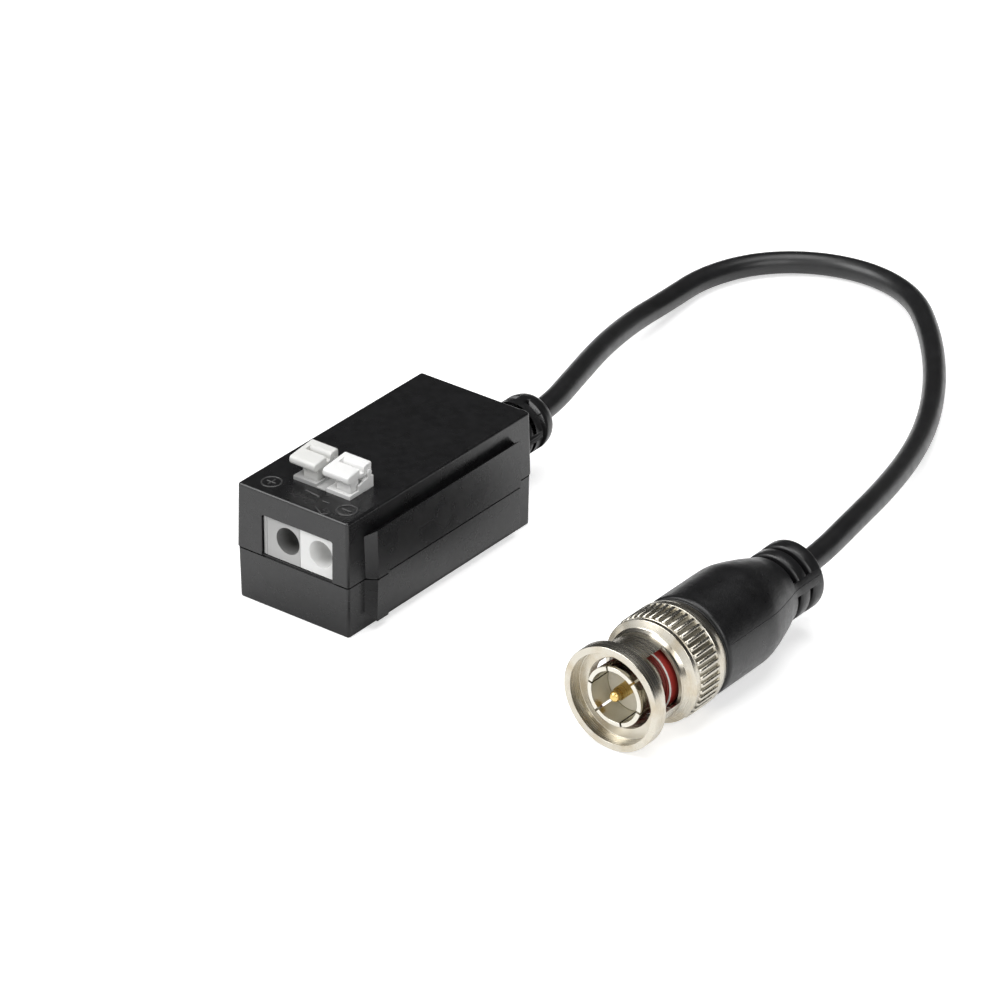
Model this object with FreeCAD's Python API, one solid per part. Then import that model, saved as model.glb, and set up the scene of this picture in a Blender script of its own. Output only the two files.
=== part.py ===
import FreeCAD, Part
import math
import os

from FreeCAD import Vector

# A passive video balun: a two-part housing with two lever terminals at its front,
# a short coaxial lead at its rear, and a bayonet plug at the lead's end.
# Millimetres. +Y runs from the terminals to the lead, +Z is up, z = 0 is the table.

# Housing
body_length = 39.36
body_width = 19.0
body_height = 17.25
parting_height = 7.75
cover_draft = 0.18
base_draft = 0.2
parting_step = 0.1
wall = 1.4
corner_radius = 0.45
top_edge_radius = 0.4
bottom_edge_radius = 0.25
inner_radius = 0.4
tongue_length = 26.0
tongue_width = 0.6
tongue_rise = 0.9
lap_clearance = 0.05

# Side rail, and the channel that takes the rail of the next housing
rail_proud = 1.45
rail_top = 14.9
rail_bottom = 1.2
rail_top_flare = 0.85
rail_bottom_flare = 1.3
rail_top_lean = 0.12
rail_bottom_lean = 0.15
rail_start = 3.6
rail_end_slant = 1.0
rail_post_length = 2.2
rail_end = 35.6
panel_recess = 0.35
channel_clearance = 0.15
channel_web = 1.0
channel_start = 3.0

# Circuit board on its pegs
board_thickness = 1.2
board_bottom = 4.4
board_clearance = 0.2
board_end_gap = 1.0
peg_radius = 0.55
peg_post_radius = 1.3
peg_inset = 1.9
peg_clearance = 0.05

# Lever terminals: two equal modules and an end plate behind the front window
pitch = 5.6
module_gap = 0.05
module_depth = 11.2
end_plate_width = 0.6
window_left = -5.2
window_top = 13.8
window_clearance = 0.1
window_corner_radius = 0.3
face_recess = 0.4
module_wall_gap = 0.2
module_top_gap = 0.1
entry_radius = 1.95
entry_length = 2.6
entry_height = 11.05
entry_from_left = 3.5
funnel_radius = 1.1
funnel_length = 1.3
ledge_from_left = 0.4
ledge_width = 3.95
ledge_start = 5.45
ledge_end = 10.45
ledge_rise = 0.5
ledge_clearance = 0.1
bridge_rise = 0.1
cheek_start = 7.4
cheek_front_rise = 1.2
cheek_rear_rise = 1.65
cheek_slope_end = 9.1
post_thickness = 0.7
pivot_setback = 0.75
pivot_rise = 2.25
bead_radius = 0.45
bead_clearance = 0.05
lever_press_angle = 11.0

# Lever
cap_width = 4.4
cap_overhang = 0.3
cap_underside = 2.0
cap_front_rise = 3.2
cap_rear_rise = 3.7
cap_lip_radius = 0.5
cap_rear_radius = 0.35
cap_end_radius = 0.2
cap_groove_start = 2.45
cap_groove_width = 0.8
cap_groove_depth = 0.95
cap_groove_radius = 0.15
cap_bar_radius = 0.7
cap_groove_land = 0.8
stem_width = 2.3
stem_from_left = 1.6
stem_setback = 0.75
stem_thickness = 1.0
stem_drop = 2.6
stem_nose = 0.4
heel_rise = 0.5
heel_reach = 0.65
pocket_side_gap = 0.1
pocket_depth = 2.45
pocket_drop = 4.1

# Clamp spring and contact inside each module
chamber_start = 4.3
chamber_end = 9.5
chamber_floor = 7.6
spring_thickness = 0.25
spring_width = 2.0
spring_stem_gap = 0.1
contact_thickness = 0.5
contact_width = 1.0
contact_clearance = 0.1
contact_height = 2.4

# Balun core, winding, surge arrester and capacitor on the board. Each place is an x and a distance
# from the board's rear edge.
core_outer_radius = 4.5
core_inner_radius = 2.5
core_height = 3.2
core_place = (0.6, 14.2)
winding_thickness = 0.45
winding_clearance = 0.05
winding_angle = 150.0
arrester_radius = 2.3
arrester_length = 5.6
arrester_place = (0.6, 6.4)
capacitor_size = (1.6, 3.2, 1.3)
capacitor_place = (-5.2, 7.7)
capacitor_end = 0.5

# Coaxial lead
cable_radius = 1.65
core_radius = 0.95
core_bend = 1.4
braid_radius = 0.5
braid_offset = (2.2, -0.9)
pad_distance = 2.6
moulded_gap = 0.02

# Strain relief on the housing
relief_radius = 4.05
relief_length = 13.4
relief_dome = 2.4
relief_neck_radius = 3.3
relief_collar_radius = 3.6
relief_collar_end = 4.9
relief_flange_radius = 4.9
relief_flange_length = 1.5
relief_seat_gap = 0.05
relief_jacket_depth = 4.0
relief_slot_width = 0.8
relief_slot_pitch = 2.05
relief_slot_count = 4
relief_slot_setback = 3.0
relief_slot_floor = 2.9
relief_slot_web = 18.0

# Plug: its axis lies along Y, stations are counted from the front rim of the nut
plug_side = 52.85
plug_front = -20.55
nut_length = 15.45
rim_radius = 7.38
rim_length = 1.95
mouth_radius = 6.4
mouth_depth = 2.0
nut_bore_radius = 4.95
bore_recess_radius = 5.5
bore_recess_start = 5.9
bore_recess_end = 8.2
waist_start = 3.1
waist_end = 7.3
waist_radius = 6.0
shoulder_start = 8.7
shoulder_radius = 7.18
knurl_start = 9.75
knurl_end = 13.55
knurl_radius = 7.45
knurl_depth = 0.28
knurl_count = 44
knurl_groove_width = 0.64
shoulder_groove_depth = 0.2
nut_end_radius = 7.05
chamber_radius = 6.0
ring_groove_radius = 6.45
window_front = 3.9
window_back = 7.15
window_from = -18.0
window_to = 63.0
entry_slot_radius = 5.6
entry_slot_depth = 4.2
entry_slot_angle = 34.0
nut_play = 0.8
nut_side_clearance = 0.07

# Plug body, in stations as above
seat_start = 8.3
flange_start = 9.2
flange_end = 10.0
flange_clearance = 0.1
body_neck_radius = 4.4
barrel_start = 12.7
barrel_end = 19.0
barrel_radius = 5.4
stem_radius = 1.5
stem_end = 25.0
nut_seat_gap = 0.05

# Finger contact, insulator and pin
finger_start = 0.75
finger_end = 10.2
finger_inner_radius = 3.6
finger_outer_radius = 4.1
finger_tip_radius = 4.25
finger_tip_length = 0.5
finger_count = 6
finger_slit_width = 0.3
finger_slit_end = 5.6
finger_slit_phase = -13.5
insulator_start = 4.3
insulator_neck_radius = 3.0
insulator_end = 15.0
pin_tip = 1.3
pin_radius = 0.68
pin_shoulder = 3.4
pin_barrel_radius = 0.95
pin_clearance = 0.02

# Gasket, its ring, the spring washer and the retaining ring
gasket_washer_thickness = 0.15
gasket_thickness = 1.9
spring_washer_thickness = 0.25
spring_washer_gap = 0.05
retainer_start = 11.2
retainer_thickness = 0.8
retainer_gap = 0.05
retainer_radius = 6.3
retainer_opening = 24.0
retainer_body_gap = 0.15

# Ferrule and boot
ferrule_radius = 2.5
ferrule_end = 26.6
boot_start = 15.7
boot_lip_radius = 6.95
boot_lip_length = 0.3
boot_radius = 7.25
boot_body_end = 26.2
boot_neck_start = 34.2
boot_neck_radius = 5.0
boot_waist_radius = 4.8
boot_end = 40.4
boot_end_radius = 0.6
boot_slot_width = 0.9
boot_slot_first = 34.3
boot_slot_pitch = 2.75
boot_slot_count = 2
boot_slot_floor = 3.7
boot_slot_web = 22.0
boot_turn = 21.0
boot_jacket_depth = 4.2

front = -body_length / 2
rear = body_length / 2
housing_x = -rail_proud / 2
plug_x = housing_x + plug_side
plug_z = knurl_radius
board_top = board_bottom + board_thickness
module_left = window_left + window_clearance + end_plate_width
left_wall = rail_proud + channel_clearance + channel_web
cavity_left = left_wall - body_width / 2
cavity_right = body_width / 2 - wall
tiny = 0.001

# The lead's route between its two fittings, chosen by eye from the photograph.
route_first = 35.8
route_between = [
    (-4.1, 46.5, 7),
    (-8.1, 58, 5.6),
    (-11.3, 69.5, 3.8),
    (-13, 80.5, 2.2),
    (-13.8, 90.4, 1.7),
    (-10.2, 99, 1.75),
    (-3, 104.8, 1.7),
    (6, 106.4, 1.75),
    (14.5, 103.7, 1.7),
    (22.4, 95.9, 1.75),
    (30, 86.1, 1.7),
    (36.8, 74.5, 1.9),
    (42.2, 62, 3.2),
    (46.6, 48.8, 5.2),
    (49.6, 37.3, 6.8),
]
route_last = 24.5


def box(x_range, y_range, z_range):
    """A block between the given limits."""
    corner = Vector(x_range[0], y_range[0], z_range[0])
    size = [limits[1] - limits[0] for limits in (x_range, y_range, z_range)]
    return Part.makeBox(size[0], size[1], size[2], corner)


def merged(first, *others):
    """Solids joined into one, with no seams left where faces continue."""
    return first.fuse(list(others)).removeSplitter()


def rod(start, direction, radius, length):
    """A round bar from a point along a direction."""
    return Part.makeCylinder(radius, length, Vector(*start), Vector(*direction))


def rounded_rectangle(width, length, radius, middle_x, height):
    """A level outline with round corners, centred on the given x and on y = 0."""
    half_w = width / 2 - radius
    half_l = length / 2 - radius
    corners = [(half_w, half_l), (-half_w, half_l), (-half_w, -half_l), (half_w, -half_l)]
    arcs = []
    for quarter, (x, y) in enumerate(corners):
        points = []
        for step in (0, 45, 90):
            angle = math.radians(90 * quarter + step)
            offset = Vector(middle_x + x + radius * math.cos(angle), y + radius * math.sin(angle), height)
            points.append(offset)
        arcs.append(points)
    edges = []
    for index, arc in enumerate(arcs):
        following = arcs[(index + 1) % len(arcs)]
        edges.append(Part.Arc(*arc).toShape())
        edges.append(Part.LineSegment(arc[2], following[0]).toShape())
    return Part.Wire(edges)


def drafted_block(low, high, radius, middle_x=0.0):
    """A block whose walls lean from one size to another. Each size is width, length and height."""
    outlines = [rounded_rectangle(size[0], size[1], radius, middle_x, size[2]) for size in (low, high)]
    return Part.makeLoft(outlines, True, True)


def softened(solid, height, radius):
    """The solid with its edges at one height rounded."""
    level = [edge for edge in solid.Edges if all(abs(v.Z - height) < tiny for v in edge.Vertexes)]
    return solid.makeFillet(radius, level)


def prism_along_x(outline, x_start, width):
    """An outline of y and z points, pushed out along X."""
    points = [Vector(x_start, y, z) for y, z in outline]
    face = Part.Face(Part.makePolygon(points + points[:1]))
    return face.extrude(Vector(width, 0, 0))


def prism_along_y(outline, y_start, length):
    """An outline of x and z points, pushed out along Y."""
    points = [Vector(x, y_start, z) for x, z in outline]
    face = Part.Face(Part.makePolygon(points + points[:1]))
    return face.extrude(Vector(0, length, 0))


def rail_section(proud, grow, inset):
    """The dovetail outline of the rail, which is taller outside than at its root."""
    root = body_width / 2
    inner = root - wall / 2
    top_slope = rail_top_flare / rail_proud
    bottom_slope = rail_bottom_flare / rail_proud
    depth = root + proud - inner
    top = rail_top + grow - (rail_proud - proud) * top_slope
    bottom = rail_bottom - grow + (rail_proud - proud) * bottom_slope
    outer = root + proud - inset
    return [
        (inner, top - depth * top_slope),
        (outer - rail_top_lean, top),
        (outer, parting_height),
        (outer - rail_bottom_lean, bottom),
        (inner, bottom + depth * bottom_slope),
    ]


def rail(inset):
    """The rail on the housing's right side: a slanted end post and a long panel a little behind it."""
    start = front + rail_start
    post_start = start + rail_end_slant
    post_end = post_start + rail_post_length
    post = prism_along_y(rail_section(rail_proud, 0, inset), front + channel_start, post_end - front - channel_start)
    slant = rail_end_slant / rail_proud
    root = body_width / 2
    reach = rail_proud + wall
    low = Vector(root - wall, start - wall * slant, 0)
    high = Vector(root + reach, start + reach * slant, 0)
    ahead = Vector(0, -body_length, 0)
    corners = [low, high, high + ahead, low + ahead, low]
    wedge = Part.Face(Part.makePolygon(corners)).extrude(Vector(0, 0, body_height))
    panel_section = rail_section(rail_proud - panel_recess, 0, inset)
    panel = prism_along_y(panel_section, post_end, front + rail_end - post_end)
    return merged(post.cut(wedge), panel)


def channel():
    """The space that takes a neighbour's rail, open at the housing's rear."""
    section = rail_section(rail_proud, channel_clearance, 0)
    root = body_width / 2
    mirrored = []
    for x, z in section:
        depth = x - root
        outer = depth + (channel_clearance if depth > 0 else 0)
        mirrored.append((outer - root, z))
    return prism_along_y(mirrored, front + channel_start, body_length)


def cavity(low_height, high_height):
    """The room inside the housing between two heights."""
    width = cavity_right - cavity_left
    length = body_length - 2 * wall
    middle = (cavity_left + cavity_right) / 2
    return drafted_block((width, length, low_height), (width, length, high_height), inner_radius, middle)


def tongues(clearance):
    """Two ridges along the sides that locate the cover on the base."""
    half = tongue_length / 2 + clearance
    rise = parting_height + tongue_rise + clearance
    ridges = []
    for inner, side in ((cavity_left, -1), (cavity_right, 1)):
        edge = inner + side * (tongue_width + clearance)
        limits = (min(inner, edge), max(inner, edge))
        ridges.append(box(limits, (-half, half), (parting_height - wall, rise)))
    return ridges


def relief_hole():
    """The round opening in the rear wall, half in the cover and half in the base."""
    radius = relief_neck_radius + relief_seat_gap
    return rod((0, rear - 2 * wall, parting_height), (0, 1, 0), radius, 3 * wall)


def cover_openings():
    """The front window for the terminals and the top opening for their ledges."""
    window_right = window_left + end_plate_width + 2 * pitch + 2 * window_clearance
    window = box((window_left, window_right), (front - 1, front + 2 * wall), (parting_height - 1, window_top))
    upper = [edge for edge in window.Edges if all(abs(v.Z - window_top) < tiny for v in edge.Vertexes)]
    sides = [edge for edge in upper if abs(edge.Vertexes[0].X - edge.Vertexes[1].X) < tiny]
    window = window.makeFillet(window_corner_radius, sides)
    first, last = [ledge_limits(place) for place in module_places()]
    ledges = box(
        (first[0] - ledge_clearance, last[1] + ledge_clearance),
        (front + ledge_start - ledge_clearance, front + ledge_end + ledge_clearance),
        (body_height - 2 * wall, body_height + 1),
    )
    return [window, ledges]


def upper_cover():
    top_size = (body_width - 2 * cover_draft, body_length - 2 * cover_draft, body_height)
    block = drafted_block((body_width, body_length, parting_height), top_size, corner_radius)
    block = softened(block, body_height, top_edge_radius)
    above = box((0, body_width), (-body_length, body_length), (parting_height, body_height))
    block = merged(block, rail(0).common(above))
    cuts = [cavity(parting_height - 1, body_height - wall), channel(), relief_hole()]
    return block.cut(cuts + cover_openings() + tongues(lap_clearance))


def lower_base():
    inset = 2 * parting_step
    top_size = (body_width - inset, body_length - inset, parting_height)
    foot_size = (body_width - 2 * base_draft, body_length - 2 * base_draft, 0)
    block = drafted_block(foot_size, top_size, corner_radius)
    block = softened(block, 0, bottom_edge_radius)
    below = box((0, body_width), (-body_length, body_length), (0, parting_height))
    block = merged(block, rail(parting_step).common(below))
    block = block.cut([cavity(wall, parting_height + 1), channel(), relief_hole()])
    return merged(block, *tongues(0), *board_posts())


def board_limits():
    """The board's left, right, front and rear edges."""
    rear_edge = rear - wall - relief_flange_length - relief_seat_gap - board_end_gap
    return (
        cavity_left + board_clearance,
        cavity_right - board_clearance,
        front + wall + board_clearance,
        rear_edge,
    )


def peg_places():
    """The four pegs near the board's corners, behind the terminals at the front."""
    left, right, board_front, board_rear = board_limits()
    front_row = front + wall + module_wall_gap + module_depth + peg_inset
    rows = (front_row, board_rear - peg_inset)
    return [(x, y) for x in (left + peg_inset, right - peg_inset) for y in rows]


def board_posts():
    """Posts that carry the board, each with a peg through it."""
    posts = []
    for x, y in peg_places():
        posts.append(rod((x, y, wall / 2), (0, 0, 1), peg_post_radius, board_bottom - wall / 2))
        posts.append(rod((x, y, board_bottom - wall / 2), (0, 0, 1), peg_radius, board_thickness + wall))
    return posts


def circuit_board():
    left, right, board_front, board_rear = board_limits()
    board = box((left, right), (board_front, board_rear), (board_bottom, board_top))
    holes = [rod((x, y, 0), (0, 0, 1), peg_radius + peg_clearance, body_height) for x, y in peg_places()]
    for place in module_places():
        holes.append(contact_pin(place, contact_clearance, -1))
    return board.cut(holes)


def module_places():
    """The left edge of each terminal module."""
    return [module_left, module_left + pitch]


def ledge_limits(place):
    """The left and right of a module's ledge."""
    left = place + ledge_from_left
    return left, left + ledge_width


def terminal(place, neighbour):
    """One module: a front in the window, a ledge through the cover and a post for the lever.

    The left module also bridges the space up to its neighbour's ledge.
    """
    left = place
    right = place + pitch - module_gap
    ledge_left, ledge_right = ledge_limits(place)
    inner_wall = front + wall + module_wall_gap
    block_top = body_height - wall - module_top_gap
    block = box((left, right), (inner_wall, inner_wall + module_depth), (board_top, block_top))
    window_low = parting_height + window_clearance
    nose = box((left, right), (front + face_recess, inner_wall + tiny), (window_low, window_top - window_clearance))
    along = (front + ledge_start, front + ledge_end)
    ledge = box((ledge_left, ledge_right), along, (block_top - wall, body_height + ledge_rise))
    cheek_side = [
        (front + cheek_start, body_height),
        (front + cheek_start, body_height + cheek_front_rise),
        (front + cheek_slope_end, body_height + cheek_rear_rise),
        (front + ledge_end, body_height + cheek_rear_rise),
        (front + ledge_end, body_height),
    ]
    cheeks = prism_along_x(cheek_side, ledge_left, ledge_width)
    pivot_y, pivot_z = pivot_place()
    post = box(
        (ledge_left, ledge_right),
        (pivot_y - post_thickness / 2, pivot_y + post_thickness / 2),
        (body_height, pivot_z),
    )
    bead = rod((ledge_left, pivot_y, pivot_z), (1, 0, 0), bead_radius, ledge_width)
    solid = merged(block, nose, ledge, cheeks, post, bead)
    if neighbour:
        across = (ledge_right - tiny, place + pitch + ledge_from_left - module_gap)
        bridge = box(across, along, (block_top + module_top_gap, body_height + bridge_rise))
        solid = merged(solid, bridge)
    holes = [wire_entry(place), spring_chamber(place), stem_pocket(place)]
    return solid.cut(holes + [contact_pin(place, contact_clearance, -1)])


def pivot_place():
    """The y and z of the line that a lever rocks about."""
    return front + ledge_end - pivot_setback, body_height + pivot_rise


def wire_entry(place):
    """The round wire hole with a funnel behind it."""
    x = place + entry_from_left
    start = front + face_recess
    hole = rod((x, start - 1, entry_height), (0, 1, 0), entry_radius, entry_length + 1)
    along = Vector(0, 1, 0)
    base = Vector(x, start + entry_length, entry_height)
    funnel = Part.makeCone(entry_radius, funnel_radius, funnel_length, base, along)
    throat = rod((x, start + entry_length, entry_height), (0, 1, 0), funnel_radius, chamber_start)
    return hole.fuse([funnel, throat])


def stem_limits(place, gap):
    """The left and right of the lever's stem, with a gap each side."""
    left = place + stem_from_left
    return left - gap, left + stem_width + gap


def spring_chamber(place):
    x_limits = stem_limits(place, pocket_side_gap)
    top = body_height - pocket_drop + tiny
    return box(x_limits, (front + chamber_start, front + chamber_end), (chamber_floor, top))


def stem_pocket(place):
    """The slot that the stem swings in, behind the ledge's front wall."""
    left, right = stem_limits(place, pocket_side_gap)
    start = front + ledge_start + stem_setback - pocket_side_gap
    return box((left, right), (start, start + pocket_depth), (body_height - pocket_drop, body_height + pivot_rise))


def end_plate():
    """The thin plate that closes the left module's side."""
    left = module_left - end_plate_width
    inner_wall = front + wall + module_wall_gap
    block_top = body_height - wall - module_top_gap
    x_limits = (left, module_left - module_gap)
    plate = box(x_limits, (inner_wall, inner_wall + module_depth), (board_top, block_top))
    window_low = parting_height + window_clearance
    nose = box(x_limits, (front + face_recess, inner_wall + tiny), (window_low, window_top - window_clearance))
    return merged(plate, nose)


def rounded_outline(corners, x):
    """A closed outline in the plane x, from corners of y, z and a rounding radius."""
    points = [Vector(x, y, z) for y, z, radius in corners]
    edges = []
    last = None
    for index, (y, z, radius) in enumerate(corners):
        corner = points[index]
        back = (points[index - 1] - corner).normalize()
        ahead = (points[(index + 1) % len(points)] - corner).normalize()
        half = back.getAngle(ahead) / 2
        reach = radius / math.tan(half)
        inward = (back + ahead).normalize()
        entry = corner + back * reach
        middle = corner + inward * (radius / math.sin(half) - radius)
        exit_point = corner + ahead * reach
        if last:
            edges.append(Part.LineSegment(last, entry).toShape())
        else:
            first = entry
        if radius:
            edges.append(Part.Arc(entry, middle, exit_point).toShape())
        last = exit_point
    edges.append(Part.LineSegment(last, first).toShape())
    return Part.Wire(edges)


def cap_top(y):
    """The height of the cap's sloping top at a station."""
    share = (y - front - ledge_start) / (ledge_end - ledge_start)
    return body_height + cap_front_rise + share * (cap_rear_rise - cap_front_rise)


def lever_cap(left):
    """The cap, with a full round lip at its front, before the groove is cut."""
    cap_front = front + ledge_start
    cap_rear = front + ledge_end
    under = body_height + cap_underside
    corners = [
        (cap_front, under, cap_lip_radius),
        (cap_front, cap_top(cap_front), cap_lip_radius),
        (cap_rear, cap_top(cap_rear), cap_rear_radius),
        (cap_rear, under, cap_rear_radius),
    ]
    cap = Part.Face(rounded_outline(corners, left)).extrude(Vector(cap_width, 0, 0))
    ends = [edge for edge in cap.Edges if abs(edge.Vertexes[0].X - edge.Vertexes[1].X) < tiny]
    return cap.makeFillet(cap_end_radius, ends)


def cap_groove(left):
    """The tool groove across the cap, whose rear wall rounds over into the bar behind it."""
    start = front + ledge_start + cap_groove_start
    end = start + cap_groove_width
    beyond = front + ledge_end + 1
    floor = cap_top(end) - cap_groove_depth
    above = body_height + 2 * cap_rear_rise
    corners = [
        (start, above, 0),
        (start, floor, cap_groove_radius),
        (end, floor, cap_groove_radius),
        (end, cap_top(end), cap_bar_radius),
        (beyond, cap_top(beyond), 0),
        (beyond, above, 0),
    ]
    outline = rounded_outline(corners, left + cap_groove_land)
    return Part.Face(outline).extrude(Vector(cap_width, 0, 0))


def lever(place):
    """A cap with a tool groove across it, rocking on the module's bead, and a stem that opens the clamp."""
    left = place - cap_overhang
    pivot_y, pivot_z = pivot_place()
    socket = rod((left - 1, pivot_y, pivot_z), (1, 0, 0), bead_radius + bead_clearance, cap_width + 2)
    stem_left, stem_right = stem_limits(place, 0)
    stem_front = front + ledge_start + stem_setback
    stem_rear = stem_front + stem_thickness
    heel_rear = stem_rear + heel_reach
    inside_cap = body_height + cap_underside + bead_radius
    foot = body_height - stem_drop
    stem_side = [
        (stem_front, inside_cap),
        (stem_front, foot + stem_nose),
        (stem_front + stem_nose, foot),
        (stem_rear, foot),
        (stem_rear, body_height),
        (heel_rear, body_height + heel_rise),
        (heel_rear, inside_cap),
    ]
    stem = prism_along_x(stem_side, stem_left, stem_right - stem_left)
    return merged(lever_cap(left), stem).cut([cap_groove(left), socket])


def strip(path, thickness, width, x_start):
    """A folded sheet strip whose middle follows a path of y and z points."""
    half = thickness / 2
    near = []
    far = []
    for index, (y, z) in enumerate(path):
        before = path[max(index - 1, 0)]
        after = path[min(index + 1, len(path) - 1)]
        turns = []
        for start, end in ((before, (y, z)), ((y, z), after)):
            run = math.hypot(end[0] - start[0], end[1] - start[1])
            if run > tiny:
                turns.append(((start[1] - end[1]) / run, (end[0] - start[0]) / run))
        normal_y = sum(turn[0] for turn in turns)
        normal_z = sum(turn[1] for turn in turns)
        scale = half * len(turns) / (normal_y ** 2 + normal_z ** 2) ** 0.5
        mitre = scale / ((normal_y ** 2 + normal_z ** 2) ** 0.5)
        near.append((y + normal_y * mitre, z + normal_z * mitre))
        far.append((y - normal_y * mitre, z - normal_z * mitre))
    return prism_along_x(near + far[::-1], x_start, width)


def clamp_spring(place):
    """A bent leaf whose top lies under the lever's stem and whose tip presses on the contact."""
    left, right = stem_limits(place, 0)
    middle = (left + right) / 2
    top = body_height - stem_drop - spring_stem_gap - spring_thickness / 2
    low = chamber_floor + contact_thickness + spring_thickness / 2
    rear_y = front + chamber_end - 0.6
    front_y = front + ledge_start + stem_setback + 2 * spring_stem_gap
    path = [
        (front_y + 0.9, low),
        (rear_y - 0.6, low),
        (rear_y, low + 0.8),
        (rear_y, low + 2.6),
        (rear_y - 1.2, top - 1.2),
        (front_y + 1.0, top),
        (front_y + 0.3, top - 0.3),
        (front_y, top - 1.4),
        (front_y + 0.2, low + 1.2),
    ]
    return strip(path, spring_thickness, spring_width, middle - spring_width / 2)


def contact_pin(place, gap, extra):
    """The contact's straight pin through the module's floor and the board, with a gap all round."""
    x = place + entry_from_left
    y = front + chamber_end - contact_height / 2
    half_x = contact_width / 2 + gap
    half_y = contact_thickness / 2 + gap
    return box((x - half_x, x + half_x), (y - half_y, y + half_y), (board_bottom + extra, chamber_floor + tiny))


def contact(place):
    """A plate on the chamber's floor with a pin to the board."""
    left, right = stem_limits(place, 0)
    plate = box(
        (left, right),
        (front + chamber_start + contact_clearance, front + chamber_end - contact_clearance),
        (chamber_floor, chamber_floor + contact_thickness),
    )
    return merged(plate, contact_pin(place, 0, 0))


def ring(x, y, low, high, inner, outer, start_angle, sweep):
    """Part of an upright ring about a vertical line."""
    corners = [(inner, low), (outer, low), (outer, high), (inner, high)]
    points = [Vector(x + radius, y, z) for radius, z in corners]
    face = Part.Face(Part.makePolygon(points + points[:1]))
    centre = Vector(x, y, 0)
    face.rotate(centre, Vector(0, 0, 1), start_angle)
    return face.revolve(centre, Vector(0, 0, 1), sweep)


def core_bottom():
    return board_top + winding_thickness + winding_clearance


def on_board(place):
    """The x and y of a place on the board."""
    left, right, board_front, board_rear = board_limits()
    return place[0], board_rear - place[1]


def ferrite_core():
    low = core_bottom()
    return ring(*on_board(core_place), low, low + core_height, core_inner_radius, core_outer_radius, 0, 360)


def choke_winding():
    """Two windings, one on each side of the core."""
    x, y = on_board(core_place)
    gap = winding_clearance
    low = core_bottom() - gap
    high = core_bottom() + core_height + gap
    inner = core_inner_radius - gap
    outer = core_outer_radius + gap
    thick = winding_thickness
    halves = []
    for start in (-winding_angle / 2, 180 - winding_angle / 2):
        around = ring(x, y, low - thick, high + thick, inner - thick, outer + thick, start, winding_angle)
        room = ring(x, y, low, high, inner, outer, start - 1, winding_angle + 2)
        halves.append(around.cut(room))
    return Part.makeCompound(halves)


def surge_arrester():
    """A gas tube lying across the board, with a thicker cap at each end."""
    x, y = on_board(arrester_place)
    cap = arrester_length / 5
    start = x - arrester_length / 2
    height = board_top + arrester_radius
    caps = [rod((start, y, height), (1, 0, 0), arrester_radius, cap)]
    caps.append(rod((start + arrester_length - cap, y, height), (1, 0, 0), arrester_radius, cap))
    waist = rod((start, y, height), (1, 0, 0), arrester_radius * 0.94, arrester_length)
    return merged(waist, *caps)


def filter_capacitor():
    """A ceramic chip with its metal ends standing a little proud."""
    x, y = on_board(capacitor_place)
    width, length, height = capacitor_size
    end = capacitor_end
    edge = board_thickness / 20
    middle = box(
        (x + edge, x + width - edge),
        (y + end - tiny, y + length - end + tiny),
        (board_top + edge, board_top + height - edge),
    )
    ends = []
    for start in (y, y + length - end):
        ends.append(box((x, x + width), (start, start + end), (board_top, board_top + height)))
    return merged(middle, *ends)


def bent_wire(x, y_start, height, radius, bend):
    """A wire that leaves along -Y and turns down to the board."""
    turn_y = y_start - pad_distance
    start = Vector(x, y_start, height)
    bend_start = Vector(x, turn_y + bend, height)
    slack = bend * (1 - math.cos(math.radians(45)))
    middle = Vector(x, turn_y + slack, height - slack)
    bend_end = Vector(x, turn_y, height - bend)
    edges = [
        Part.LineSegment(start, bend_start).toShape(),
        Part.Arc(bend_start, middle, bend_end).toShape(),
    ]
    if bend_end.z - board_top > tiny:
        edges.append(Part.LineSegment(bend_end, Vector(x, turn_y, board_top)).toShape())
    return swept(edges, radius)


def swept(edges, radius):
    """A round bar along a path of lines and arcs."""
    path = Part.Wire(edges)
    start = edges[0].Vertexes[0].Point
    along = edges[0].tangentAt(edges[0].FirstParameter)
    section = Part.Wire(Part.makeCircle(radius, start, along))
    return path.makePipeShell([section], True, False)


def signal_wire():
    """The lead's core, from inside the strain relief to the board."""
    jacket_end = rear + relief_length - relief_jacket_depth
    inner_face = rear - wall - relief_seat_gap - relief_flange_length
    straight = rod((0, inner_face, parting_height), (0, 1, 0), core_radius, jacket_end - inner_face)
    return merged(bent_wire(0, inner_face, parting_height, core_radius, core_bend), straight)


def braid_tail():
    """The screen, twisted into a tail beside the core."""
    inner_face = rear - wall - relief_seat_gap - relief_flange_length
    height = parting_height + braid_offset[1]
    return bent_wire(braid_offset[0], inner_face, height, braid_radius, height - board_top - tiny * 10)


def turned(outline, start_y, axis_x, axis_z):
    """A shape turned about an axis along Y, from points of station and radius.

    A step may also be a pair of points, the middle and the end of an arc.
    """
    def at(point):
        return Vector(point[1], point[0], 0)

    edges = []
    here = outline[0]
    for step in outline[1:] + outline[:1]:
        if isinstance(step[0], tuple):
            edges.append(Part.Arc(at(here), at(step[0]), at(step[1])).toShape())
            here = step[1]
        else:
            edges.append(Part.LineSegment(at(here), at(step)).toShape())
            here = step
    solid = Part.Face(Part.Wire(edges)).revolve(Vector(0, 0, 0), Vector(0, 1, 0), 360)
    solid.translate(Vector(axis_x, start_y, axis_z))
    return solid


def arc_point(centre, radius, degrees):
    """A point on an arc in the plane of station and radius."""
    angle = math.radians(degrees)
    return (centre[0] + radius * math.sin(angle), centre[1] + radius * math.cos(angle))


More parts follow.
